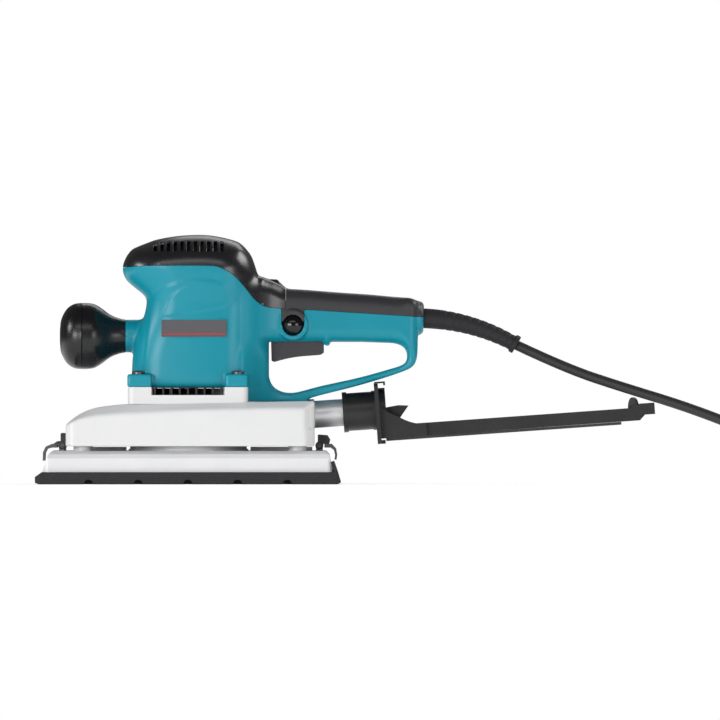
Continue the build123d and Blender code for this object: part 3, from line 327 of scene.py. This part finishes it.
def settle(points, quads, fields, cell, rounds=5, even_rounds=3):
    """Evens out the vertices and moves them exactly on to the surface."""
    reach = 0.6 * cell
    for turn in range(rounds):
        if turn < even_rounds:
            mean = np.zeros_like(points)
            count = np.zeros(len(points))
            for a, b in ((0, 1), (1, 2), (2, 3), (3, 0)):
                np.add.at(mean, quads[:, a], points[quads[:, b]])
                np.add.at(count, quads[:, a], 1)
            mean /= np.maximum(count, 1)[:, None]
            points = points + 0.5 * np.where(count[:, None] > 0, mean - points, 0)
        values = [field(*points.T) for field in fields]
        top = np.max(values, axis=0)
        for _ in range(2):
            for number, field in enumerate(fields):
                active = values[number] > top - reach
                p = points[active]
                value = field(*p.T)
                gradient = slope(field, p, value)
                size = np.maximum((gradient ** 2).sum(1), 0.05)
                move = value / size
                limit = reach / np.sqrt(size)
                points[active] = p - gradient * np.clip(move, -limit, limit)[:, None]
    return points


def mesh_object(name, points, faces, material, sharp=32.0):
    """A smooth-shaded object from points in millimetres."""
    mesh = bpy.data.meshes.new(name)
    mesh.from_pydata((np.asarray(points) * MM).tolist(), [], [list(map(int, f)) for f in faces])
    mesh.validate()
    mesh.polygons.foreach_set("use_smooth", [True] * len(mesh.polygons))
    mesh.set_sharp_from_angle(angle=math.radians(sharp))
    obj = bpy.data.objects.new(name, mesh)
    bpy.context.collection.objects.link(obj)
    mesh.materials.append(material)
    return obj


def field_object(name, fields, low, high, cell, material, sharp=32.0):
    """An object whose surface is where the largest of the fields is zero."""
    points, quads = net(fields, low, high, cell)
    return mesh_object(name, points, quads, material, sharp)


def cut_with(obj, cutter):
    """Takes a cutter out of a piece for good."""
    modifier = obj.modifiers.new("cut", "BOOLEAN")
    modifier.operation = "DIFFERENCE"
    modifier.solver = "EXACT"
    modifier.object = cutter
    apply_modifiers(obj)
    bpy.data.objects.remove(cutter)


def apply_modifiers(obj):
    """Keeps the result of a piece's modifiers as its mesh."""
    graph = bpy.context.evaluated_depsgraph_get()
    mesh = bpy.data.meshes.new_from_object(obj.evaluated_get(graph))
    obj.modifiers.clear()
    obj.data = mesh


def lathe(name, profile, axis_height, material, parts=96):
    """A piece turned about a line along X: profile is (place along it, radius) in millimetres."""
    points, faces = [], []
    for along, radius in profile:
        for i in range(parts):
            a = 2 * math.pi * i / parts
            points.append((along, radius * math.cos(a), axis_height + radius * math.sin(a)))
    for ring in range(len(profile) - 1):
        for i in range(parts):
            j = (i + 1) % parts
            a, b = ring * parts, (ring + 1) * parts
            faces.append((a + j, a + i, b + i, b + j))
    faces.append(range(parts))
    faces.append(range(len(points) - 1, len(points) - parts - 1, -1))
    return mesh_object(name, points, faces, material)


BOX_FACES = ((0, 1, 3, 2), (4, 6, 7, 5), (0, 4, 5, 1), (2, 3, 7, 6), (0, 2, 6, 4), (1, 5, 7, 3))


def add_box(points, faces, x_ends, y_ends, z_ends):
    """Adds a box to the points and faces of a mesh; y_ends may run towards either side."""
    base = len(points)
    order = 1 if y_ends[1] > y_ends[0] else -1
    points += [(x, y, z) for x in x_ends for y in y_ends for z in z_ends]
    faces += [[base + corner for corner in face[::order]] for face in BOX_FACES]


# ---- The moulded body ---------------------------------------------------------------------------
TRUNK_SIDE = curve([
    (-42.6, 60.0), (-42.6, 76.0), (-42.2, 86.0), (-41.4, 97.0), (-38.0, 112.0), (-33.6, 125.0),
    (-32.0, 131.0), (-31.3, 136.6), (-32.2, 140.2), (-35.2, 143.4), (-42.4, 149.2), (-46.4, 153.2),
    (-48.6, 157.6), (-49.3, 162.0), (-49.0, 166.4), (-48.2, 170.0), (-46.0, 178.0), (-44.0, 200.0),
]) + curve([
    (50.0, 200.0), (51.5, 170.0), (52.5, 156.0), (52.0, 135.0), (51.0, 118.0), (50.5, 100.0), (50.5, 60.0),
])
ROOF_ALONG = [
    (-60.0, 150.0), (-52.0, 164.5), (-46.6, 172.2), (-42.0, 175.9), (-37.5, 178.1), (-33.0, 179.9),
    (-28.5, 181.6), (-24.0, 183.1), (-15.0, 184.9), (-6.0, 186.1), (4.0, 186.7), (13.0, 186.6),
    (20.0, 185.8), (28.0, 184.2), (35.0, 182.2), (39.0, 180.2), (42.8, 176.6), (46.6, 171.6),
    (50.3, 164.6), (54.0, 157.0), (58.0, 149.0), (64.0, 138.0),
]
ROOF_ACROSS = [(0.0, 0.0), (8.0, 0.15), (14.0, 0.8), (20.0, 2.2), (26.0, 4.5), (31.0, 7.2), (35.0, 9.9),
               (39.0, 13.2), (43.0, 17.5), (50.0, 27.0)]
HALF_WIDTH = [(60.0, 38.6), (100.0, 38.6), (118.0, 38.3), (134.0, 38.0), (142.0, 38.9), (150.0, 40.6),
              (158.0, 41.8), (166.0, 42.0), (172.0, 41.4), (180.0, 39.0), (190.0, 33.0)]
BULGE, BULGE_MIDDLE, BULGE_REACH = 2.6, 4.5, 46.0
CORNER = [(60.0, 22.0), (125.0, 22.0), (140.0, 24.0), (160.0, 29.0), (190.0, 30.0)]
HANDLE_SIDE = curve([
    (40.0, 150.0), (54.0, 154.8), (57.8, 153.9), (61.6, 152.6), (65.0, 151.3), (69.0, 149.2),
    (72.8, 147.0), (76.6, 146.1), (84.0, 145.7), (95.0, 144.9), (114.0, 143.4), (136.0, 141.9),
    (151.0, 140.5), (160.0, 139.8), (167.0, 139.2), (171.0, 137.0), (172.6, 133.0),
]) + curve([
    (172.4, 120.0), (172.2, 108.0), (171.8, 97.0), (170.6, 91.8), (168.6, 88.6), (164.8, 86.0), (156.5, 82.8),
    (146.8, 79.6), (126.5, 73.6), (102.5, 67.5), (93.0, 64.9), (90.6, 63.4), (90.0, 61.0),
]) + [(40.0, 61.0)]
HANDLE_HOLE = [(60.4, 106.6), (60.4, 83.0)] + curve([
    (60.5, 80.0), (61.9, 76.0), (64.4, 72.6), (68.6, 70.0), (74.0, 68.6), (80.0, 68.7), (86.7, 70.2),
    (101.0, 73.9), (128.8, 80.1), (150.5, 86.1), (158.6, 88.6), (162.2, 90.6), (163.9, 93.6),
    (164.0, 97.5), (162.6, 101.2), (159.5, 103.9), (154.0, 105.6), (144.0, 106.1), (130.0, 106.6),
]) + [(107.0, 106.6), (105.4, 103.8), (101.6, 103.8), (100.0, 106.6)]
GRIP_WIDTH = [(40.0, 35.0), (46.0, 31.0), (54.0, 26.0), (63.0, 21.5), (73.0, 18.8), (90.0, 17.2),
              (115.0, 16.6), (162.0, 16.0), (177.0, 14.5)]
LOW_WIDTH = [(40.0, 36.0), (48.0, 29.0), (56.0, 22.0), (64.0, 16.5), (74.0, 12.8), (90.0, 11.6),
             (177.0, 11.6)]
SEAM = [(-60.0, 162.6), (-46.0, 162.8)] + curve([
    (-33.0, 163.7), (-5.0, 163.9), (17.0, 163.7), (24.0, 162.3), (31.5, 158.6), (38.0, 153.0), (44.0, 145.8),
    (49.5, 139.0), (54.0, 135.3), (58.6, 133.0), (64.0, 132.1),
]) + [(86.0, 131.0), (190.0, 124.4), (190.0, 210.0), (-60.0, 210.0)]
BADGE_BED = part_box("badges")[1][1] / MM - 0.5
BUTTON = (78.5, 119.4)
KNOB_Z = 111.1
GUARD_Z = 124.5
DIAL = (62.5, 144.8)
DIAL_HOOD = [(54.0, 146.0), (54.0, 155.2), (60.0, 153.6), (66.4, 153.3), (73.6, 146.2), (73.6, 142.0)]
COVER_SEAM_X = 73.0

trunk_side = outline_field(TRUNK_SIDE)
handle_side = outline_field(HANDLE_SIDE)
handle_hole = outline_field(HANDLE_HOLE)
seam_side = outline_field(SEAM, cell=0.8)
hood_side = outline_field(DIAL_HOOD)
roof_along = course(ROOF_ALONG)
roof_across = course(ROOF_ACROSS)
half_width = course(HALF_WIDTH)
corner_radius = course(CORNER)
grip_width = course(GRIP_WIDTH)
low_width = course(LOW_WIDTH)
ARCH = outline_field([(60.0, 60.0), (-33.6, 60.0), (-33.6, 76.0)] + curve([
    (-33.4, 84.0), (-31.6, 102.0), (-29.8, 120.0), (-28.0, 134.0), (-23.6, 142.6), (-16.6, 148.0),
    (-8.0, 151.2), (2.0, 152.8), (12.0, 153.0), (24.0, 150.6), (34.0, 144.0), (44.0, 132.0),
    (60.0, 110.0),
]))
facet_low = course([(-30.0, 124.8), (-19.4, 125.6), (-8.0, 127.2), (8.0, 129.4), (22.0, 131.8), (30.0, 134.0),
                    (34.5, 137.0), (38.0, 141.5)])
facet_left = course([(120.0, -20.2), (125.8, -19.4), (131.6, -17.4), (139.8, -12.8), (145.4, -7.0),
                     (149.4, 0.6), (152.0, 8.0)])


def trunk_field(x, y, z):
    """The upright motor body under its domed top."""
    side = np.abs(y)
    bulge = BULGE * ((x - BULGE_MIDDLE) / BULGE_REACH) ** 2
    walls = meet(trunk_side(x, z), side - half_width(z) + bulge, corner_radius(z))
    rise = (roof_along(x + 0.5) - roof_along(x - 0.5)) ** 2
    fall = (roof_across(side + 0.5) - roof_across(side - 0.5)) ** 2
    roof = (z - roof_along(x) + roof_across(side)) / np.sqrt(1 + rise + fall)
    form = meet(walls, roof, 5.0)
    raised = step_up(-ARCH(x, z), -1.6, 1.6) * (1 - step_up(x, 14.0, 42.0))
    facet = step_up(z - facet_low(x), -0.7, 0.7) * step_up(x - facet_left(z), -0.8, 0.8)
    facet = facet * (1 - step_up(x, 24.0, 42.0)) * (1 - step_up(z, 142.0, 154.0))
    raised = raised + 0.9 * facet
    form = form - 0.8 * raised * step_up(side, 20.0, 30.0)
    return meet(form, 72.8 - z, 0.8)


def handle_field(x, y, z):
    """The D-handle with its finger gap."""
    side = np.maximum(handle_side(x, z), -handle_hole(x, z))
    high = step_up(z, 92.0, 110.0)
    wide = low_width(x) * (1 - high) + grip_width(x) * high
    end = step_up(x, 158.0, 168.0)
    wide = wide + 2.5 * end * (1 - high)
    radius = 3.0 + 7.5 * high * (1 - 0.55 * end)
    return meet(side, np.abs(y) - wide, radius)


def body_field(x, y, z):
    """The whole moulded body."""
    form = join(trunk_field(x, y, z), handle_field(x, y, z), 6.0)
    for low, high in ((-45.4, -27.4), (28.0, 44.8)):
        side = np.abs(y)
        form = join(form, box_field(x, side, z, (low, 26.0, 72.8), (high, 45.0, 82.5), 1.6), 2.0)
    form = join(form, disc_field(y, z, x, (0.0, KNOB_Z), 12.25, -47.6, -20.0, 0.8), 3.5)
    form = join(form, disc_field(y, z, x, (0.0, GUARD_Z), 12.5, 166.0, 176.4, 3.5), 2.0)
    form = join(form, disc_field(x, z, y, BUTTON, 11.4, -19.6, -8.0, 1.0), 1.5)
    hood = meet(hood_side(x, z), np.abs(y) - 6.8, 1.0)
    form = join(form, hood, 1.0)
    form = np.maximum(form, 61.9 - z)
    bed = box_field(x, np.abs(y), z, (-20.6, BADGE_BED, 109.6), (29.8, 60.0, 124.0), 0.0)
    form = np.maximum(form, -bed)
    slot = box_field(x, y, z, (61.3, -8.8, 90.0), (103.0, 8.8, 122.0), 0.5)
    form = meet(form, -slot, 0.4)
    wheel = disc_field(x, z, y, DIAL, 9.7, -4.2, 4.2)
    form = meet(form, -wheel, 0.3)
    button = disc_field(x, z, y, BUTTON, 8.0, -40.0, -2.0)
    button = np.minimum(button, disc_field(x, z, y, BUTTON, 9.2, -15.4, -2.0))
    form = meet(form, -button, 0.3)
    form = meet(form, -disc_field(x, y, z, (42.5, 0.0), 4.2, 170.0, 210.0), 0.4)
    return meet(form, -disc_field(x, y, z, (158.5, 0.0), 4.2, 134.4, 210.0), 0.4)


def tongue_field(x, y, z):
    """The tongue of the handle cover round the upper half of the lock button."""
    flat = box_field(x, 0 * x, z, (BUTTON[0] - 8.6, -1, BUTTON[1] - 0.4), (BUTTON[0] + 8.4, 1, 140.0), 0.0)
    return np.maximum(flat, y + 12.0)


def cover_zone(x, y, z):
    """Negative where the black covers are."""
    return np.minimum(seam_side(x, z), tongue_field(x, y, z))


SEAM_GAP = 0.16
COVER_PROUD = 0.35
COVER_WALL = 2.4


def make_body(materials):
    """The teal shell and its two black covers."""
    low, high = (-53, -48, 58), (181, 48, 190)

    def shell_side(x, y, z):
        side = SEAM_GAP - cover_zone(x, y, z)
        lip = np.maximum(body_field(x, y, z) + COVER_WALL + 0.2, side - 2.4)
        return np.minimum(side, lip)

    shell = field_object("shell_skin", [body_field, shell_side], low, high, 1.15, materials["teal"])
    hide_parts("motor_housing")

    def cover_out(x, y, z):
        return body_field(x, y, z) - COVER_PROUD

    def cover_in(x, y, z):
        rib = np.maximum(np.abs(y) - 1.0, 160.0 - z + 0 * x)
        return np.minimum(-body_field(x, y, z) - COVER_WALL, rib)

    def above_seam(x, y, z):
        return seam_side(x, z) + SEAM_GAP

    def before_joint(x, y, z):
        return x - COVER_SEAM_X + 0.12 + 0 * z

    def behind_joint(x, y, z):
        return np.minimum(COVER_SEAM_X + 0.12 - x, z - 131.6)

    def cover_side(x, y, z):
        return cover_zone(x, y, z) + SEAM_GAP

    cap = field_object("top_cover_skin", [cover_out, above_seam, before_joint, cover_in], (-53, -48, 130),
                       (76, 48, 190), 1.1, materials["gloss"])
    add_slots(cap)
    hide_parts("top_cover")
    grip = field_object("handle_cover_skin", [cover_out, cover_side, behind_joint], (68, -24, 112),
                        (181, 24, 152), 1.0, materials["matt"])
    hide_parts("handle_cover")
    for piece in (shell, cap, grip):
        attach(piece, "housing")


SLOTS = 11
SLOT_PITCH = 5.0
SLOT_WIDTH = 2.7
SLOTS_MIDDLE = 0.3
SLOT_ACROSS = (23.0, 50.0)
SLOT_HEIGHTS = (174.4, 182.2)


def add_slots(cap):
    """Cuts the air slots through both shoulders of the cap."""
    for side in (-1, 1):
        points, faces = [], []
        for index in range(SLOTS):
            x = SLOTS_MIDDLE + SLOT_PITCH * (index - (SLOTS - 1) / 2)
            x_ends = (x - SLOT_WIDTH / 2, x + SLOT_WIDTH / 2)
            add_box(points, faces, x_ends, [side * y for y in SLOT_ACROSS], SLOT_HEIGHTS)
        cutter = mesh_object("slot_cutter", points, faces, cap.data.materials[0])
        cut_with(cap, cutter)


# ---- Knob -----------------------------------------------------------------------------------------
KNOB_HEAD = curve([(-96.6, 0.3), (-96.45, 6.0), (-95.4, 13.0), (-91.4, 20.3), (-86.0, 24.0), (-80.2, 24.9)])
KNOB_REST = curve([(-79.4, 24.9), (-73.0, 24.5), (-69.0, 23.2), (-64.6, 20.4), (-60.0, 16.9), (-55.6, 14.6),
                   (-51.0, 13.1), (-47.4, 12.4)])


def make_knob(materials):
    """The ball grip and its cap, with the parting groove between."""
    head_outline = KNOB_HEAD + [(-79.9, 24.6), (-79.9, 12.0)]
    rest_outline = [(-79.7, 12.0), (-79.7, 24.6)] + KNOB_REST + [(-47.2, 12.0)]
    head = lathe("knob_cap_skin", head_outline, KNOB_Z, materials["knob"])
    rest = lathe("knob_body_skin", rest_outline, KNOB_Z, materials["knob"])
    for piece, node in ((head, "knob_cap"), (rest, "knob_body")):
        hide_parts(node)
        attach(piece, "housing")


# ---- Base cover ---------------------------------------------------------------------------------------
COVER_BOTTOM = 28.5
crown_height = course([(-91.5, 44.6), (-88.0, 47.6), (-83.0, 51.4), (-78.0, 54.2), (-72.0, 56.5),
                       (-66.0, 57.9), (-55.0, 59.2), (-45.0, 59.9), (-4.0, 60.8), (44.5, 61.6),
                       (91.0, 62.3), (95.0, 62.2)])
shoulder_drop = course([(-91.5, 1.0), (-88.0, 1.6), (-78.0, 4.2), (-66.0, 6.2), (-45.0, 6.6), (-4.0, 5.2),
                        (44.5, 4.8), (95.0, 5.2)])


def cover_form(x, y, z):
    """The cast base cover without its hollow."""
    side = np.abs(y)
    ends = np.maximum(-91.5 - x, x - 94.6)
    corner = np.where(x > 0, 6.6 + 0.9 * (z > 41.6), 4.2)
    plan = meet(meet(ends, side - 52.5, 0.6), (ends + side - 52.5 + corner) / math.sqrt(2), 1.0)
    drop = shoulder_drop(x) * np.clip((side - 44.5) / 8.0, 0, 2.5)
    steep = shoulder_drop(x) / 8.0 * (side > 44.5)
    roof = (z - crown_height(x) + drop) / np.sqrt(1 + steep ** 2 + 0.1)
    form = meet(plan, roof, 1.6)
    boss = disc_field(y, z - 0.07 * (x - 90), x, (0.0, 51.9), 11.6, 80.0, 94.4, 0.6)
    form = join(form, boss, 2.0)
    form = meet(form, COVER_BOTTOM - z, 1.0)
    front = box_field(x, y, z, (-120, -27.5, 10), (-81, 27.5, 42), 1.0)
    rear = box_field(x, y, z, (85.5, -27.5, 10), (120, 27.5, 42), 1.0)
    return meet(form, -np.minimum(front, rear), 0.7)


def cover_hollow(x, y, z):
    """Positive inside the base cover's hollow."""
    inner = meet(np.maximum(-88.2 - x, x - 91.3), np.abs(y) - 49.2, 5.0)
    inner = np.maximum(inner, z - crown_height(x) + 3.2 + 3.3 * (np.abs(y) > 42))
    pockets = np.minimum(box_field(x, y, z, (-120, -30.7, 10), (-77.8, 30.7, 45.2)),
                         box_field(x, y, z, (82.3, -30.7, 10), (120, 30.7, 45.2)))
    return -np.maximum(inner, -pockets)


def make_base(materials):
    """The pale cast base cover."""
    base = field_object("base_cover_skin", [cover_form, cover_hollow], (-96, -57, 24), (99, 57, 68), 1.2,
                        materials["cast"])
    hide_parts("base_cover")
    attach(base, "housing")


# ---- Cord guard and cord -----------------------------------------------------------------------------
GUARD_END = (246.5, 0.0, 104.2)
GUARD_MID = (209.0, 0.0, 119.6)
GUARD_START = (168.2, 0.0, GUARD_Z)


def arc_through(a, b, c, count):
    """Points and directions on the arc through three points of the XZ plane."""
    (ax, _, az), (bx, _, bz), (cx, _, cz) = a, b, c
    d = 2 * (ax * (bz - cz) + bx * (cz - az) + cx * (az - bz))
    sa, sb, sc = ax * ax + az * az, bx * bx + bz * bz, cx * cx + cz * cz
    ox = (sa * (bz - cz) + sb * (cz - az) + sc * (az - bz)) / d
    oz = (sa * (cx - bx) + sb * (ax - cx) + sc * (bx - ax)) / d
    start = math.atan2(az - oz, ax - ox)
    end = math.atan2(cz - oz, cx - ox)
    radius = math.hypot(ax - ox, az - oz)
    out = []
    for i in range(count):
        t = start + (end - start) * i / (count - 1)
        out.append((ox + radius * math.cos(t), oz + radius * math.sin(t), t))
    return out


def make_guard(materials):
    """The bent rubber guard with fine rings and an end flange."""
    count, parts = 160, 48
    radius_along = course([(0.0, 7.5), (0.25, 7.35), (0.55, 6.75), (0.8, 6.15), (0.95, 5.75), (1.0, 5.75)])
    points, faces = [], []
    stations = arc_through(GUARD_START, GUARD_MID, GUARD_END, count)
    for i, (x, z, turn) in enumerate(stations):
        share = i / (count - 1)
        radius = float(radius_along(share))
        if share > 0.955:
            radius = 7.0 - 0.5 * (abs(share - 0.9775) > 0.018)
        if 0.3 < share < 0.93 and (i // 4) % 3 == 0:
            radius -= 0.25
        for k in range(parts):
            a = 2 * math.pi * k / parts
            out = radius * math.sin(a)
            points.append((x + out * math.cos(turn), radius * math.cos(a), z + out * math.sin(turn)))
    for i in range(count - 1):
        for k in range(parts):
            m = (k + 1) % parts
            faces.append((i * parts + k, i * parts + m, (i + 1) * parts + m, (i + 1) * parts + k))
    faces.append(range(parts - 1, -1, -1))
    faces.append(range((count - 1) * parts, count * parts))
    guard = mesh_object("cord_guard_skin", points, faces, materials["rubber"])
    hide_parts("cord_guard")
    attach(guard, "housing")


CORD_D = 0.0075
CORD_ROUTE = (
    (0.2465, 0.0, 0.1042),
    (0.2840, -0.0050, 0.0865),
    (0.3270, -0.0140, 0.0723),
    (0.3720, -0.0240, 0.0586),
    (0.4180, -0.0330, 0.0410),
    (0.4620, -0.0420, 0.0220),
    (0.5050, -0.0490, 0.0080),
    (0.5450, -0.0530, 0.0038),
    (0.5860, -0.0543, 0.0038),
)
COIL_X = 0.586
COIL_OUTER = 0.0543
COIL_INNER = 0.0315
COIL_PASSES = 3.75
COIL_LIFT = 0.0066
TURN_POINTS = 18
PLUG_AT = (0.534, 0.0543, 0.0086)


def coil_points():
    """Control points of the coil: one flat layer inwards, then one outwards on top of it."""
    points = []
    count = int(2 * COIL_PASSES * TURN_POINTS)
    tighten = (1 + math.cos(math.pi / TURN_POINTS)) / 2
    for i in range(1, count + 1):
        turns = i / TURN_POINTS
        inward = turns if turns < COIL_PASSES else 2 * COIL_PASSES - turns
        radius = COIL_OUTER - (COIL_OUTER - COIL_INNER) * inward / COIL_PASSES
        lift = COIL_LIFT * min(max((turns - COIL_PASSES + 0.2) / 0.4, 0), 1)
        a = math.radians(-90) + 2 * math.pi * turns
        wide = radius / tighten
        points.append((COIL_X + wide * math.cos(a), wide * math.sin(a), CORD_D / 2 + lift))
    return points


def make_cord(materials):
    """The cord on its route, wound into a coil beyond the picture, and its plug."""
    tail = [(COIL_X - 0.012, PLUG_AT[1], 0.0103), (COIL_X - 0.03, PLUG_AT[1], 0.0093), PLUG_AT]
    points = list(CORD_ROUTE) + coil_points() + tail
    data = bpy.data.curves.new("cord_line", "CURVE")
    data.dimensions = "3D"
    data.bevel_depth = CORD_D / 2
    data.bevel_resolution = 6
    data.use_fill_caps = True
    data.resolution_u = 8
    spline = data.splines.new("NURBS")
    spline.points.add(len(points) - 1)
    for point, place in zip(spline.points, points):
        point.co = (*place, 1.0)
    spline.order_u = 3
    spline.use_endpoint_u = True
    data.materials.append(materials["sheath"])
    cord = bpy.data.objects.new("cord_line", data)
    bpy.context.collection.objects.link(cord)
    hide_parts("power_cord", "cord_coil")
    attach(cord, "housing")


# ---- CAD pieces that keep their shape ---------------------------------------------------------------
FINISHES = {
    "badges": "badge", "fan_housing": "cast", "fan_baffle": "holder", "outlet_tube": "tube",
    "knob_bolt": "steel", "field_core": "steel", "field_coils": "brass", "lower_bearing": "steel",
    "upper_bearing": "steel", "bearing_boot": "rubber", "brush_holders": "brass",
    "carbon_brushes": "matt", "brush_springs": "steel", "switch_body": "holder",
    "speed_controller": "holder", "capacitor": "holder", "lead_wires": "sheath",
    "switch_springs": "steel", "cord_clamp": "holder", "clamp_screws": "steel",
    "housing_screws": "screw", "cover_screws": "bright", "armature_shaft": "steel",
    "armature_core": "steel", "armature_windings": "brass", "commutator": "brass",
    "cooling_fan": "holder", "counterweight": "screw", "eccentric": "steel", "pad_plate": "plate",
    "backing_pad": "rubber", "bearing_housing": "cast", "pad_bearing": "steel", "pad_feet": "cast",
    "pad_screws": "steel", "clamp_pins": "screw", "clamp_springs": "steel", "front_clamp_jaw": "screw",
    "front_clamp_lever": "holder", "rear_clamp_jaw": "screw", "rear_clamp_lever": "holder",
    "trigger": "matt", "lock_button": "button", "speed_dial": "dial", "nozzle_cuff": "holder",
    "bag_holder": "holder", "holder_rail": "rail", "seal_ring": "holder", "coil_tie": "tie",
    "plug_body": "matt", "plug_pins": "brass",
}
EDGE_ROUND = {
    "pad_plate": 0.0009, "backing_pad": 0.0004, "fan_housing": 0.0006, "trigger": 0.0006,
    "bag_holder": 0.0005, "nozzle_cuff": 0.0005, "seal_ring": 0.0004, "front_clamp_lever": 0.0006,
    "rear_clamp_lever": 0.0006, "front_clamp_jaw": 0.0002, "rear_clamp_jaw": 0.0002,
    "plug_body": 0.0006, "coil_tie": 0.0003, "outlet_tube": 0.0003, "cover_screws": 0.0002,
    "housing_screws": 0.0002,
}


def dress_nodes(materials):
    """Gives CAD nodes their finish, and rounds the edges of those that show."""
    for name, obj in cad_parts.items():
        if name in FINISHES:
            paint(obj, materials[FINISHES[name]])
        if name in EDGE_ROUND:
            modifier = obj.modifiers.new("round", "BEVEL")
            modifier.width = EDGE_ROUND[name]
            modifier.segments = 2
            modifier.limit_method = "ANGLE"
            modifier.angle_limit = math.radians(40)
            modifier.harden_normals = False


LINE_INSET = 0.0012
LINE_DEPTHS = (-0.0003, 0.0001)
LINE_HEIGHTS = (0.0018, 0.0027)


def add_badge_lines(materials):
    """The red line on each badge."""
    low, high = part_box("badges")
    for name, y in (("badge_line_left", low[1]), ("badge_line_right", high[1])):
        outward = -1 if y < 0 else 1
        points, faces = [], []
        x_ends = (low[0] + LINE_INSET, high[0] - LINE_INSET)
        y_ends = [y + outward * depth for depth in LINE_DEPTHS]
        z_ends = [low[2] + height for height in LINE_HEIGHTS]
        add_box(points, faces, *([end / MM for end in ends] for ends in (x_ends, y_ends, z_ends)))
        line = mesh_object(name, points, faces, materials["red"])
        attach(line, "housing")


# ---- Room ----------------------------------------------------------------------------------------------
FLOOR_HALF = 0.95
AMBIENT = 0.11
LIGHT_TARGET = (0.1, 0.0, 0.08)
LIGHT_DISTANCE = 2.2
LIGHTS = {
    "fill_left": (-32, 5, (1.3, 0.6), 8.5),
    "fill_right": (34, 5, (0.9, 0.6), 4.5),
    "front_high": (-6, 33, (2.0, 0.42), 2.2),
    "left_side": (-76, 22, (0.6, 0.7), 10.0),
    "right_side": (106, 36, (1.4, 1.0), 5.2),
    "back": (170, 35, (1.2, 0.6), 2.0),
}


def add_softbox(name, azimuth, elevation, size, radiance):
    """A soft box that faces the tool: azimuth 0 is the camera's side, and positive is to its right."""
    a, e = math.radians(azimuth), math.radians(elevation)
    away = Vector((math.sin(a) * math.cos(e), -math.cos(a) * math.cos(e), math.sin(e)))
    data = bpy.data.lights.new(name, "AREA")
    data.shape = "RECTANGLE"
    data.size, data.size_y = size
    data.energy = radiance * math.pi * size[0] * size[1]
    light = bpy.data.objects.new(name, data)
    light.location = Vector(LIGHT_TARGET) + away * LIGHT_DISTANCE
    light.rotation_euler = (-away).to_track_quat("-Z", "Y").to_euler()
    bpy.context.collection.objects.link(light)


def add_floor():
    """The pale floor, which is part of the room and not of the tool."""
    half = FLOOR_HALF
    corners = [(-half, -half, 0), (half, -half, 0), (half, half, 0), (-half, half, 0)]
    mesh = bpy.data.meshes.new("floor")
    mesh.from_pydata(corners, [], [(0, 1, 2, 3)])
    floor = bpy.data.objects.new("floor", mesh)
    bpy.context.collection.objects.link(floor)
    material = bpy.data.materials.new("floor_pale")
    material.use_nodes = True
    shader = material.node_tree.nodes["Principled BSDF"]
    shader.inputs["Base Color"].default_value = (0.92, 0.92, 0.92, 1)
    shader.inputs["Roughness"].default_value = 0.9
    shader.inputs["Emission Color"].default_value = (1, 1, 1, 1)
    shader.inputs["Emission Strength"].default_value = 0.5
    mesh.materials.append(material)


def add_backdrop():
    """A world that looks white to the camera and lights the tool only a little."""
    world = bpy.data.worlds.new("studio")
    world.use_nodes = True
    nodes, links = world.node_tree.nodes, world.node_tree.links
    ambient = nodes["Background"]
    ambient.inputs["Color"].default_value = (1, 1, 1, 1)
    ambient.inputs["Strength"].default_value = AMBIENT
    backdrop = nodes.new("ShaderNodeBackground")
    backdrop.inputs["Color"].default_value = (1, 1, 1, 1)
    backdrop.inputs["Strength"].default_value = 1.0
    path = nodes.new("ShaderNodeLightPath")
    mix = nodes.new("ShaderNodeMixShader")
    links.new(path.outputs["Is Camera Ray"], mix.inputs["Fac"])
    links.new(ambient.outputs["Background"], mix.inputs[1])
    links.new(backdrop.outputs["Background"], mix.inputs[2])
    links.new(mix.outputs["Shader"], nodes["World Output"].inputs["Surface"])
    bpy.context.scene.world = world


def add_room():
    """A pale floor and backdrop under soft studio light."""
    add_floor()
    add_backdrop()
    for name, (azimuth, elevation, size, radiance) in LIGHTS.items():
        add_softbox(name, azimuth, elevation, size, radiance)
    bpy.context.scene.view_settings.view_transform = "Standard"


def main():
    """Builds the picture round the frame."""
    add_camera()
    materials = make_materials()
    make_cord(materials)
    dress_nodes(materials)
    make_body(materials)
    make_knob(materials)
    make_base(materials)
    make_guard(materials)
    add_badge_lines(materials)
    add_room()


main()
